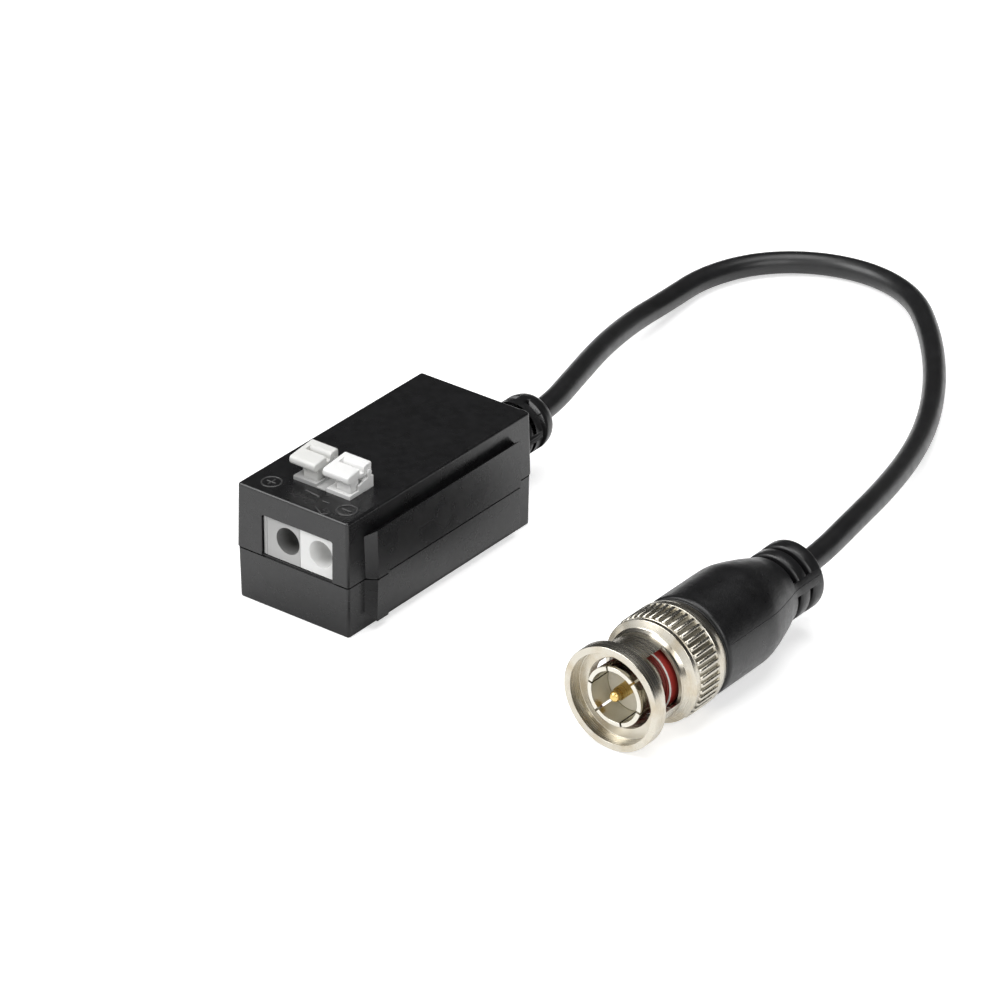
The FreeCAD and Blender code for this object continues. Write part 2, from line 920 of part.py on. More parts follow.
def sector(stations, radii, start_angle, sweep, start_y, axis_x, axis_z):
    """Part of a ring about an axis along Y. Angles run from +X towards +Z."""
    corners = [(stations[0], radii[0]), (stations[1], radii[0]), (stations[1], radii[1]), (stations[0], radii[1])]
    points = [Vector(radius, station, 0) for station, radius in corners]
    face = Part.Face(Part.makePolygon(points + points[:1]))
    about = Vector(0, -1, 0)
    face.rotate(Vector(0, 0, 0), about, start_angle)
    solid = face.revolve(Vector(0, 0, 0), about, sweep)
    solid.translate(Vector(axis_x, start_y, axis_z))
    return solid


def housing_relief():
    """The strain relief: a flange inside the rear wall, a neck in it and a slotted, domed body outside."""
    flange_end = -wall - relief_seat_gap
    flange_start = flange_end - relief_flange_length
    dome_start = relief_length - relief_dome
    bore = cable_radius + moulded_gap
    core_bore = core_radius + moulded_gap
    jacket_start = relief_length - relief_jacket_depth
    tip_radius = cable_radius + (relief_radius - cable_radius) / 4
    dome_middle = (relief_length - relief_dome * 0.36, tip_radius + (relief_radius - tip_radius) * 0.74)
    outline = [
        (flange_start, core_bore),
        (flange_start, relief_flange_radius),
        (flange_end, relief_flange_radius),
        (flange_end, relief_neck_radius),
        (relief_seat_gap, relief_neck_radius),
        (relief_seat_gap, relief_collar_radius),
        (relief_collar_end, relief_collar_radius),
        (relief_collar_end + relief_radius - relief_collar_radius, relief_radius),
        (dome_start, relief_radius),
        (dome_middle, (relief_length, tip_radius)),
        (relief_length, bore),
        (jacket_start, bore),
        (jacket_start, core_bore),
    ]
    solid = turned(outline, rear, 0, parting_height)
    slots = []
    for row in range(relief_slot_count):
        end = relief_length - relief_slot_setback - row * relief_slot_pitch
        turn = 90 * (row % 2)
        for half in (0, 180):
            start_angle = turn + half + 90 + relief_slot_web / 2
            radii = (relief_slot_floor, relief_radius + 1)
            stations = (end - relief_slot_width, end)
            sweep = 180 - relief_slot_web
            slots.append(sector(stations, radii, start_angle, sweep, rear, 0, parting_height))
    return solid.cut(slots)


def on_plug(outline):
    """A turned piece of the plug, in stations from the nut's front rim."""
    return turned(outline, plug_front, plug_x, plug_z)


def plug_sector(stations, radii, start_angle, sweep):
    return sector(stations, radii, start_angle, sweep, plug_front, plug_x, plug_z)


def coupling_nut():
    """The bayonet nut: a rim, a waist with two windows, a shoulder and a ring of straight ridges."""
    chamber_start_station = flange_start - nut_seat_gap
    groove_start = retainer_start - retainer_gap
    groove_end = retainer_start + retainer_thickness + retainer_gap
    edge = 0.15
    rim_turn = waist_start - rim_length
    rim_middle = (rim_length + 0.29 * rim_turn, waist_radius + 0.29 * (rim_radius - waist_radius))
    shoulder_middle_station = waist_end + 0.71 * (shoulder_start - waist_end)
    shoulder_middle = (shoulder_middle_station, waist_radius + 0.29 * (shoulder_radius - waist_radius))
    v_depth = shoulder_groove_depth
    outline = [
        (0, mouth_radius),
        (0, rim_radius - edge),
        (edge, rim_radius),
        (rim_length, rim_radius),
        (rim_middle, (waist_start, waist_radius)),
        (waist_end, waist_radius),
        (shoulder_middle, (shoulder_start, shoulder_radius)),
        (knurl_start - 2 * v_depth, shoulder_radius),
        (knurl_start - v_depth, shoulder_radius - v_depth),
        (knurl_start, knurl_radius - edge),
        (knurl_start + edge, knurl_radius),
        (knurl_end + edge, knurl_radius),
        (knurl_end + 3 * edge, knurl_radius - edge),
        (nut_length, nut_end_radius),
        (nut_length, chamber_radius),
        (groove_end, chamber_radius),
        (groove_end, ring_groove_radius),
        (groove_start, ring_groove_radius),
        (groove_start, chamber_radius),
        (chamber_start_station, chamber_radius),
        (chamber_start_station, nut_bore_radius),
        (bore_recess_end, nut_bore_radius),
        (bore_recess_end, bore_recess_radius),
        (bore_recess_start, bore_recess_radius),
        (bore_recess_start, nut_bore_radius),
        (mouth_depth, nut_bore_radius),
        (mouth_depth, mouth_radius),
    ]
    solid = on_plug(outline)
    cuts = []
    for half in (0, 180):
        stations = (window_front, window_back)
        radii = (nut_bore_radius - 1, waist_radius + 1)
        cuts.append(plug_sector(stations, radii, window_from + half, window_to - window_from))
        slot_start = 45 + half - entry_slot_angle / 2
        slot_radii = (nut_bore_radius - 1, entry_slot_radius)
        cuts.append(plug_sector((-1, entry_slot_depth), slot_radii, slot_start, entry_slot_angle))
    return solid.cut(cuts).cut(knurl_grooves())


def knurl_grooves():
    """The flat-bottomed grooves that leave straight ridges round the nut."""
    centre = Vector(plug_x, 0, plug_z)
    floor = knurl_radius - knurl_depth
    groove = box(
        (plug_x + floor, plug_x + floor + 1),
        (plug_front + knurl_start + knurl_depth, plug_front + knurl_end),
        (plug_z - knurl_groove_width / 2, plug_z + knurl_groove_width / 2),
    )
    grooves = []
    for index in range(knurl_count):
        copy = groove.copy()
        copy.rotate(centre, Vector(0, 1, 0), index * 360 / knurl_count)
        grooves.append(copy)
    return grooves


def plug_body():
    """The turned body: a gasket seat, the flange that holds the nut, a barrel and a crimp stem."""
    finger_bore = finger_outer_radius + moulded_gap
    insulator_bore = insulator_neck_radius + moulded_gap
    core_bore = core_radius + moulded_gap
    outline = [
        (seat_start, finger_bore),
        (seat_start, nut_bore_radius - nut_side_clearance),
        (flange_start, nut_bore_radius - nut_side_clearance),
        (flange_start, chamber_radius - flange_clearance),
        (flange_end, chamber_radius - flange_clearance),
        (flange_end, body_neck_radius),
        (barrel_start, body_neck_radius),
        (barrel_start, barrel_radius),
        (barrel_end, barrel_radius),
        (barrel_end, stem_radius),
        (stem_end, stem_radius),
        (stem_end, core_bore),
        (insulator_end, core_bore),
        (insulator_end, insulator_bore),
        (finger_end, insulator_bore),
        (finger_end, finger_bore),
    ]
    return on_plug(outline)


def outer_contact():
    """The contact sleeve, slit into springy fingers at its front."""
    tip_end = finger_start + finger_tip_length
    outline = [
        (finger_start, finger_inner_radius),
        (finger_start, finger_tip_radius - moulded_gap),
        (finger_start + finger_tip_length / 5, finger_tip_radius),
        (tip_end, finger_tip_radius),
        (finger_slit_end, finger_outer_radius),
        (finger_end, finger_outer_radius),
        (finger_end, finger_inner_radius),
    ]
    sleeve = on_plug(outline)
    centre = Vector(plug_x, 0, plug_z)
    slit = box(
        (plug_x, plug_x + finger_tip_radius + 1),
        (plug_front, plug_front + finger_slit_end),
        (plug_z - finger_slit_width / 2, plug_z + finger_slit_width / 2),
    )
    slits = []
    for index in range(finger_count):
        copy = slit.copy()
        copy.rotate(centre, Vector(0, -1, 0), finger_slit_phase + index * 360 / finger_count)
        slits.append(copy)
    return sleeve.cut(slits)


def insulator():
    """The dielectric inside the contact sleeve, bored for the pin."""
    bore = pin_barrel_radius + pin_clearance
    outline = [
        (insulator_start, bore),
        (insulator_start, finger_inner_radius - moulded_gap),
        (finger_end, finger_inner_radius - moulded_gap),
        (finger_end, insulator_neck_radius),
        (insulator_end, insulator_neck_radius),
        (insulator_end, bore),
    ]
    return on_plug(outline)


def centre_pin():
    """The signal pin with a round nose and a thicker barrel behind it."""
    nose = arc_point((pin_tip + pin_radius, 0), pin_radius, -45)
    outline = [
        (pin_tip, 0),
        (nose, (pin_tip + pin_radius, pin_radius)),
        (pin_shoulder, pin_radius),
        (pin_shoulder + pin_barrel_radius - pin_radius, pin_barrel_radius),
        (insulator_end, pin_barrel_radius),
        (insulator_end, 0),
    ]
    return on_plug(outline)


def plug_core():
    """The lead's core inside the plug body, up to the back of the pin."""
    return rod((plug_x, plug_front + insulator_end, plug_z), (0, 1, 0), core_radius, ferrule_end - insulator_end)


def crimp_ferrule():
    """The crimped sleeve that holds the braid on the body's stem."""
    inner = stem_radius + moulded_gap
    outline = [
        (barrel_end + moulded_gap, inner),
        (barrel_end + moulded_gap, ferrule_radius),
        (ferrule_end, ferrule_radius),
        (ferrule_end, inner),
    ]
    return on_plug(outline)


def seal_ring(start, thickness):
    """A flat ring on the contact sleeve, inside the nut's bore."""
    inner = finger_outer_radius + moulded_gap
    outer = nut_bore_radius - nut_side_clearance
    end = start + thickness
    return on_plug([(start, inner), (start, outer), (end, outer), (end, inner)])


def face_gasket():
    return seal_ring(seat_start - gasket_thickness, gasket_thickness)


def gasket_washer():
    start = seat_start - gasket_thickness - gasket_washer_thickness
    return seal_ring(start, gasket_washer_thickness)


def spring_washer():
    """A coned washer between the body's flange and the retaining ring."""
    start = flange_end + spring_washer_gap
    end = retainer_start - spring_washer_gap
    inner = body_neck_radius + retainer_body_gap
    outer = chamber_radius - flange_clearance
    thick = spring_washer_thickness
    return on_plug([(start, inner), (end - thick, outer), (end, outer), (start + thick, inner)])


def retaining_ring():
    """A split ring in the nut's groove that carries the nut on the spring washer."""
    inner = body_neck_radius + retainer_body_gap
    stations = (retainer_start, retainer_start + retainer_thickness)
    start_angle = 90 + retainer_opening / 2
    return plug_sector(stations, (inner, retainer_radius), start_angle, 360 - retainer_opening)


def plug_boot():
    """The moulded boot: a full body, a curved shoulder, a slotted neck and a blunt end."""
    bore = cable_radius + moulded_gap
    half_way = (boot_body_end + boot_neck_start) / 2
    shoulder_drop = boot_radius - boot_waist_radius
    upper_middle = ((boot_body_end + half_way) / 2, boot_radius - shoulder_drop * 0.14)
    crossing = (half_way, boot_radius - shoulder_drop * 0.48)
    lower_middle = ((half_way + boot_neck_start) / 2, boot_waist_radius + shoulder_drop * 0.16)
    end_centre = (boot_end - boot_end_radius, boot_neck_radius - boot_end_radius)
    outline = [
        (boot_start, barrel_radius + moulded_gap),
        (boot_start, boot_lip_radius),
        (boot_start + boot_lip_length, boot_lip_radius),
        (boot_start + boot_lip_length, boot_radius - moulded_gap),
        (boot_start + 3 * boot_lip_length, boot_radius),
        (boot_body_end, boot_radius),
        (upper_middle, crossing),
        (lower_middle, (boot_neck_start, boot_waist_radius)),
        (boot_neck_start + boot_lip_length / 2, boot_neck_radius),
        (boot_end - boot_end_radius, boot_neck_radius),
        (arc_point(end_centre, boot_end_radius, 45), (boot_end, boot_neck_radius - boot_end_radius)),
        (boot_end, bore),
        (ferrule_end, bore),
        (ferrule_end, ferrule_radius + moulded_gap),
        (barrel_end + moulded_gap, ferrule_radius + moulded_gap),
        (barrel_end + moulded_gap, barrel_radius + moulded_gap),
    ]
    solid = on_plug(outline)
    slots = []
    for row in range(boot_slot_count):
        start = boot_slot_first + row * boot_slot_pitch
        for half in (0, 180):
            radii = (boot_slot_floor, boot_neck_radius + 1)
            start_angle = boot_turn + half + boot_slot_web / 2
            slots.append(plug_sector((start, start + boot_slot_width), radii, start_angle, 180 - boot_slot_web))
    return solid.cut(slots)


def route():
    """The lead's points, from inside the strain relief to inside the boot."""
    jacket_start = (housing_x, rear + relief_length - relief_jacket_depth, parting_height)
    first_bend = (housing_x, route_first, parting_height)
    last_bend = (plug_x, route_last, plug_z)
    jacket_end = (plug_x, plug_front + boot_end - boot_jacket_depth, plug_z)
    return [Vector(*point) for point in [jacket_start, first_bend] + route_between + [last_bend, jacket_end]]


def rounded_path(points):
    """Straight runs joined by arcs that are as large as the runs allow."""
    edges = []
    here = points[0]
    for before, corner, after in zip(points, points[1:], points[2:]):
        back = before - corner
        ahead = after - corner
        reach = 0.45 * min(back.Length, ahead.Length)
        turn = math.pi - back.getAngle(ahead)
        radius = reach / math.tan(turn / 2)
        print("bend at y %.1f: turn %.0f degrees, radius %.1f mm" % (corner.y, math.degrees(turn), radius))
        back.normalize()
        ahead.normalize()
        inward = (back + ahead).normalize()
        entry = corner + back * reach
        exit_point = corner + ahead * reach
        sagitta_point = corner + inward * (radius / math.cos(turn / 2) - radius)
        edges.append(Part.LineSegment(here, entry).toShape())
        edges.append(Part.Arc(entry, sagitta_point, exit_point).toShape())
        here = exit_point
    edges.append(Part.LineSegment(here, points[-1]).toShape())
    return edges


def cable():
    """The lead's jacket: the free stretch and its straight end inside the boot."""
    edges = rounded_path(route())
    free = swept(edges, cable_radius)
    length = sum(edge.Length for edge in edges)
    share = free.Volume / (math.pi * cable_radius ** 2 * length)
    print("lead length %.1f mm, volume over section times length %.4f" % (length, share))
    inner_start = plug_front + ferrule_end
    inner_length = boot_end - boot_jacket_depth - ferrule_end
    hidden = rod((plug_x, inner_start, plug_z), (0, 1, 0), cable_radius, inner_length)
    return merged(free, hidden)


def housing_pieces():
    """The pieces in the housing's own frame, about its middle line."""
    left, right = module_places()
    return {
        "upper_cover": upper_cover(),
        "lower_base": lower_base(),
        "terminal_left": terminal(left, True),
        "terminal_right": terminal(right, False),
        "terminal_end_plate": end_plate(),
        "lever_left": lever(left),
        "lever_right": lever(right),
        "clamp_spring_left": clamp_spring(left),
        "clamp_spring_right": clamp_spring(right),
        "contact_left": contact(left),
        "contact_right": contact(right),
        "circuit_board": circuit_board(),
        "ferrite_core": ferrite_core(),
        "choke_winding": choke_winding(),
        "surge_arrester": surge_arrester(),
        "filter_capacitor": filter_capacitor(),
        "signal_wire": signal_wire(),
        "braid_tail": braid_tail(),
        "housing_strain_relief": housing_relief(),
    }


def lead_pieces():
    """The lead and the plug, in the part's frame."""
    return {
        "cable": cable(),
        "plug_boot": plug_boot(),
        "crimp_ferrule": crimp_ferrule(),
        "plug_core": plug_core(),
        "plug_body": plug_body(),
        "outer_contact": outer_contact(),
        "insulator": insulator(),
        "centre_pin": centre_pin(),
        "face_gasket": face_gasket(),
        "gasket_washer": gasket_washer(),
        "spring_washer": spring_washer(),
        "retaining_ring": retaining_ring(),
        "coupling_nut": coupling_nut(),
    }


def main():
    os.makedirs("parts", exist_ok=True)
    pieces = housing_pieces()
    for shape in pieces.values():
        shape.translate(Vector(housing_x, 0, 0))
    pieces.update(lead_pieces())
    for name, shape in pieces.items():
        print("%-22s valid %s solids %d volume %.1f" % (name, shape.isValid(), len(shape.Solids), shape.Volume))
        shape.exportStep("parts/%s.step" % name)


main()
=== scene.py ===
import math

import bmesh
import bpy
from mathutils import Matrix, Vector


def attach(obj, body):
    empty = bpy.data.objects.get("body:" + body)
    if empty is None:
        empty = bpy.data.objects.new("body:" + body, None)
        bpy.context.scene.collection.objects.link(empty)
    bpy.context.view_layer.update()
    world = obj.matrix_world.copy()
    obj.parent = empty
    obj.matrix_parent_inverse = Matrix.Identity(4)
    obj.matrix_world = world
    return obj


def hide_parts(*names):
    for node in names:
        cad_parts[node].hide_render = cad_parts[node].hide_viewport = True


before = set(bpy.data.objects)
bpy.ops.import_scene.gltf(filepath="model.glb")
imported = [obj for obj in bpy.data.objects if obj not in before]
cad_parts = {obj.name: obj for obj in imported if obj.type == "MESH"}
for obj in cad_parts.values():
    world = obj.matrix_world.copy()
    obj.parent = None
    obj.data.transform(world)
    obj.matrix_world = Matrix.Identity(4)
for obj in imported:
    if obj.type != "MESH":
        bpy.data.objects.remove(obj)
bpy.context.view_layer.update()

bl_info = {
    "name": "Video Balun",
    "version": (1, 0, 0),
    "blender": (4, 5, 0),
    "location": "View3D > Sidebar > Balun",
    "description": "Builds a video balun with its lead and bayonet plug",
    "category": "Object",
}

MM = 0.001

# The housing's place: its middle line, half its width, its front, rear and top, and where it parts.
HOUSING_X = -0.725
HALF_WIDTH = 9.5
FRONT_Y = -19.68
REAR_Y = 19.68
TOP_Z = 17.25
PARTING_Z = 7.75

# The rear end of the rail's post, and how far the rail and the post stand off the housing's side.
POST_REAR_Y = -12.9
POST_PROUD = 1.45

# The wire hole in the grey module: from the module's left side, its height and its radius.
ENTRY_FROM_LEFT = 3.5
ENTRY_Z = 11.05
ENTRY_RADIUS = 1.95

# The plug's axis, and the front rim from which its stations are counted.
PLUG_X = 52.125
PLUG_Z = 7.45
PLUG_FRONT = -20.55

# Axes along Y: where the stations start, and the axis's place in X and Z.
PLUG = (PLUG_FRONT, PLUG_X, PLUG_Z)
RELIEF = (REAR_Y, HOUSING_X, PARTING_Z)

# Edges with a sharper angle than this are rounded.
SHARP = math.radians(40)

# The lead's route, from inside the strain relief to inside the boot.
ROUTE = [
    (-0.725, 29.08, 7.75),
    (-0.725, 35.8, 7.75),
    (-4.1, 46.5, 7.0),
    (-8.1, 58.0, 5.6),
    (-11.3, 69.5, 3.8),
    (-13.0, 80.5, 2.2),
    (-13.8, 90.4, 1.7),
    (-10.2, 99.0, 1.75),
    (-3.0, 104.8, 1.7),
    (6.0, 106.4, 1.75),
    (14.5, 103.7, 1.7),
    (22.4, 95.9, 1.75),
    (30.0, 86.1, 1.7),
    (36.8, 74.5, 1.9),
    (42.2, 62.0, 3.2),
    (46.6, 48.8, 5.2),
    (49.6, 37.3, 6.8),
    (52.125, 24.5, 7.45),
    (52.125, 15.65, 7.45),
]


# Mesh helpers. Sizes in their arguments are millimetres, as in the part's source.

def put(thing, **values):
    """Sets several properties of a thing."""
    for name, value in values.items():
        setattr(thing, name, value)
    return thing


def piece_from(name, data):
    """An object at the origin that holds a mesh, a curve, a lamp or a camera."""
    piece = bpy.data.objects.new(name, data)
    bpy.context.scene.collection.objects.link(piece)
    return piece


def piece_of(name, shape):
    """An object from an edited shape, with its faces turned outwards."""
    bmesh.ops.recalc_face_normals(shape, faces=shape.faces)
    mesh = bpy.data.meshes.new(name)
    shape.to_mesh(mesh)
    shape.free()
    return piece_from(name, mesh)


def shown_mesh(piece):
    """A mesh of what a piece shows, with its modifiers' work in it."""
    bpy.context.view_layer.update()
    depsgraph = bpy.context.evaluated_depsgraph_get()
    return bpy.data.meshes.new_from_object(piece.evaluated_get(depsgraph))


def settle(piece):
    """Turns a piece's modifiers into plain mesh and clears them."""
    mesh = shown_mesh(piece)
    mesh.name = piece.name
    piece.modifiers.clear()
    piece.data = mesh
    return piece


def smooth(piece, degrees):
    """Shades a piece smooth, apart from edges that are sharper than the angle."""
    piece.data.shade_smooth()
    piece.data.set_sharp_from_angle(angle=math.radians(degrees))
    return piece


def evened(piece):
    """Keeps the large faces of a smooth piece flat, so that only the small ones beside them bend the light."""
    put(piece.modifiers.new("even", "WEIGHTED_NORMAL"), mode="FACE_AREA", weight=100)
    return settle(piece)


def bevelled(piece, width, segments=2):
    """Rounds a piece's sharp edges and keeps its flat faces flat."""
    piece.data.shade_smooth()
    modifier = piece.modifiers.new("edges", "BEVEL")
    put(modifier, width=width * MM, segments=segments, limit_method="ANGLE", angle_limit=SHARP)
    return evened(piece)


def round_by_weight(piece, width, share):
    """Rounds a piece's sharp edges, each by its own share of the width."""
    shape = bmesh.new()
    shape.from_mesh(piece.data)
    weight = shape.edges.layers.float.new("bevel_weight_edge")
    for edge in shape.edges:
        if len(edge.link_faces) == 2 and edge.calc_face_angle() > SHARP:
            edge[weight] = share((edge.verts[0].co + edge.verts[1].co) / 2 / MM)
    shape.to_mesh(piece.data)
    shape.free()
    piece.data.shade_smooth()
    put(piece.modifiers.new("edges", "BEVEL"), width=width * MM, segments=3, limit_method="WEIGHT")
    return evened(piece)


def cut(piece, other):
    """Cuts another object from a piece, and removes the other."""
    put(piece.modifiers.new("cut", "BOOLEAN"), object=other, operation="DIFFERENCE", solver="EXACT")
    settle(piece)
    bpy.data.objects.remove(other)
    return piece


def joined(name, pieces):
    """One object from several, which stay separate shells inside it."""
    shape = bmesh.new()
    slots = []
    for piece in pieces:
        start = len(shape.faces)
        shape.from_mesh(piece.data)
        shape.faces.ensure_lookup_table()
        own = list(piece.data.materials)
        slots += [material for material in own if material not in slots]
        for face in shape.faces[start:] if own else []:
            face.material_index = slots.index(own[min(face.material_index, len(own) - 1)])
    mesh = bpy.data.meshes.new(name)
    shape.to_mesh(mesh)
    shape.free()
    for material in slots:
        mesh.materials.append(material)
    for piece in pieces:
        bpy.data.objects.remove(piece)
    return piece_from(name, mesh)


def rounded(points, steps):
    """An outline with each corner replaced by a small arc. Each point names its arc's radius."""
    result = []
    nearly_straight = math.radians(172)
    for index, (x, y, radius) in enumerate(points):
        here = Vector((x, y))
        back = Vector(points[index - 1][:2]) - here
        ahead = Vector(points[(index + 1) % len(points)][:2]) - here
        corner = back.angle(ahead)
        if radius == 0 or corner > nearly_straight:
            result.append(tuple(here))
            continue
        reach = min(radius / math.tan(corner / 2), 0.48 * back.length, 0.48 * ahead.length)
        entry = here + back.normalized() * reach
        leave = here + ahead.normalized() * reach
        for step in range(steps + 1):
            t = step / steps
            near = entry.lerp(here, t)
            far = here.lerp(leave, t)
            result.append(tuple(near.lerp(far, t)))
    return result


def flowing(points):
    """Points on a smooth curve through the given ones."""
    result = []
    steps = 6
    padded = [Vector(point) for point in [points[0]] + points + [points[-1]]]
    for a, b, c, d in zip(padded, padded[1:], padded[2:], padded[3:]):
        for step in range(steps):
            t = step / steps
            value = 0.5 * (
                2 * b + (c - a) * t + (2 * a - 5 * b + 4 * c - d) * t * t
                + (3 * b - a - 3 * c + d) * t * t * t
            )
            result.append(tuple(value))
    return result + [points[-1]]


def vertex(shape, point):
    """A new corner of a shape."""
    return shape.verts.new([value * MM for value in point])


def skinned(name, shape, rows):
    """An object with a skin along rows of corners and a face at either end."""
    for here, following in zip(rows, rows[1:]):
        for index in range(len(here)):
            after = (index + 1) % len(here)
            shape.faces.new((here[index], here[after], following[after], following[index]))
    shape.faces.new(rows[0])
    shape.faces.new(rows[-1])
    return piece_of(name, shape)


def round_axis(axis, station, radius, angle):
    """A place round an axis along Y."""
    start, x, z = axis
    return x + radius * math.cos(angle), start + station, z + radius * math.sin(angle)


def turned(name, outline, axis, segments=160):
    """A closed outline of stations and radii, turned about an axis along Y."""
    shape = bmesh.new()
    rings = []
    for station, radius in outline:
        turns = [2 * math.pi * index / segments for index in range(segments if radius > 0 else 1)]
        rings.append([vertex(shape, round_axis(axis, station, radius, turn)) for turn in turns])
    for here, following in zip(rings, rings[1:] + rings[:1]):
        for index in range(segments):
            after = (index + 1) % segments
            corners = [here[index % len(here)], here[after % len(here)]]
            corners += [following[after % len(following)], following[index % len(following)]]
            corners = list(dict.fromkeys(corners))
            if len(corners) > 2:
                shape.faces.new(corners)
    return piece_of(name, shape)


def on_plug(name, outline, segments=160):
    """A turned piece about the plug's axis."""
    return turned(name, outline, PLUG, segments)


def turn_about(piece, centre, degrees, along):
    """Turns a mesh about an axis through a place."""
    away = Matrix.Translation(Vector(centre) * MM)
    piece.data.transform(away @ Matrix.Rotation(math.radians(degrees), 4, along) @ away.inverted())


def turn_on_plug(piece, degrees):
    """Turns a mesh about the plug's axis."""
    turn_about(piece, (PLUG_X, 0, PLUG_Z), degrees, "Y")


def band(first, last, inner, outer):
    """A plain rectangle of stations and radii."""
    return [(first, inner), (last, inner), (last, outer), (first, outer)]


def flared_slot(first, inner, surface):
    """The section of a slot whose edges are rounded where it meets the surface, the rear one more."""
    last = first + 0.9
    return [
        (first, inner), (last, inner), (last, surface - 0.42), (last + 0.06, surface - 0.22),
        (last + 0.2, surface - 0.08), (last + 0.5, surface + 0.06), (last + 0.5, surface + 1),
        (first - 0.2, surface + 1), (first - 0.2, surface + 0.05), (first - 0.04, surface - 0.06),
        (first, surface - 0.2),
    ]


def sector(name, profile, angles, axis):
    """A closed section of stations and radii, swept part of the way round an axis along Y.

    Angles are in degrees, from +X towards +Z.
    """
    shape = bmesh.new()
    rows = []
    steps = 48
    for step in range(steps + 1):
        angle = math.radians(angles[0] + (angles[1] - angles[0]) * step / steps)
        rows.append([vertex(shape, round_axis(axis, *point, angle)) for point in profile])
    return skinned(name, shape, rows)


def prism(name, outline, heights):
    """An outline pushed out between two heights."""
    shape = bmesh.new()
    return skinned(name, shape, [[vertex(shape, (x, y, z)) for x, y in outline] for z in heights])


def block(name, sides, ends, heights):
    """A plain block, used where another piece is cut."""
    (left, right), (front, rear) = sides, ends
    return prism(name, [(left, front), (right, front), (right, rear), (left, rear)], heights)


def solid_copy(name, node):
    """A mesh of our own from one of the part's solids, with its triangles merged into whole faces."""
    shape = bmesh.new()
    shape.from_mesh(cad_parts[node].data)
    bmesh.ops.remove_doubles(shape, verts=shape.verts, dist=0.002 * MM)
    bmesh.ops.dissolve_limit(shape, angle_limit=math.radians(1.0), verts=shape.verts, edges=shape.edges)
    return piece_of(name, shape)


def round_bar(name, points, radius, steps, kind):
    """A curve with a round section along points. The radius is in metres."""
    curve = bpy.data.curves.new(name, "CURVE")
    put(curve, dimensions="3D", bevel_depth=radius, bevel_resolution=steps, use_fill_caps=True)
    spline = curve.splines.new(kind)
    spline.points.add(len(points) - 1)
    for place, point in zip(spline.points, points):
        place.co = [value * MM for value in point] + [1.0]
    return piece_from(name, curve)


def wire_along(name, points, radius, steps=3):
    """A fine round bar along straight runs, as a mesh."""
    bar = round_bar(name, points, radius * MM, steps, "POLY")
    mesh = shown_mesh(bar)
    bpy.data.objects.remove(bar)
    mesh.shade_smooth()
    return piece_from(name, mesh)


# Geometry Nodes

def ring_tree():
    """A tree that sets copies of a shape round an axis, an even angle apart."""
    tree = bpy.data.node_groups.get("copies round an axis")
    if tree:
        return tree
    tree = bpy.data.node_groups.new("copies round an axis", "GeometryNodeTree")
    for name, kind in (
        ("Shape", "Geometry"), ("Copies", "Int"), ("Step Angle", "Float"), ("Centre", "Vector"),
        ("Axis", "Vector"), ("Finish", "Material"),
    ):
        tree.interface.new_socket(name, in_out="INPUT", socket_type="NodeSocket" + kind)
    tree.interface.new_socket("Ring", in_out="OUTPUT", socket_type="NodeSocketGeometry")
    given, whole, repeated, angle, turn, rotated, real, painted, result = (
        tree.nodes.new(kind) for kind in (
            "NodeGroupInput", "GeometryNodeGeometryToInstance", "GeometryNodeDuplicateElements",
            "ShaderNodeMath", "FunctionNodeAxisAngleToRotation", "GeometryNodeRotateInstances",
            "GeometryNodeRealizeInstances", "GeometryNodeSetMaterial", "NodeGroupOutput",
        )
    )
    repeated.domain = "INSTANCE"
    angle.operation = "MULTIPLY"
    rotated.inputs["Local Space"].default_value = False
    for source, output, target, socket in (
        (given, "Shape", whole, 0),
        (whole, 0, repeated, "Geometry"),
        (given, "Copies", repeated, "Amount"),
        (repeated, "Duplicate Index", angle, 0),
        (given, "Step Angle", angle, 1),
        (given, "Axis", turn, "Axis"),
        (angle, 0, turn, "Angle"),
        (repeated, "Geometry", rotated, "Instances"),
        (turn, 0, rotated, "Rotation"),
        (given, "Centre", rotated, "Pivot Point"),
        (rotated, 0, real, 0),
        (real, 0, painted, "Geometry"),
        (given, "Finish", painted, "Material"),
        (painted, 0, result, 0),
    ):
        tree.links.new(source.outputs[output], target.inputs[socket])
    return tree


def copied_round(piece, copies, step_degrees, centre, axis, finish=None):
    """Replaces a piece's mesh by copies of it round an axis."""
    tree = ring_tree()
    modifier = piece.modifiers.new("ring", "NODES")
    modifier.node_group = tree
    values = {
        "Copies": copies,
        "Step Angle": math.radians(step_degrees),
        "Centre": [value * MM for value in centre],
        "Axis": axis,
        "Finish": finish,
    }
    for item in tree.interface.items_tree:
        if item.in_out == "INPUT" and item.name in values:
            modifier[item.identifier] = values[item.name]
    return settle(piece)


def copied_about(piece, copies, axis, finish=None):
    """Replaces a piece's mesh by copies of it, spread evenly round an axis along Y."""
    return copied_round(piece, copies, 360 / copies, (axis[1], 0, axis[2]), (0, 1, 0), finish)


# Material helpers

def fill(node, **values):
    """Sets a node's inputs, with _ for a space in their names."""
    for name, value in values.items():
        node.inputs[name.replace("_", " ")].default_value = value


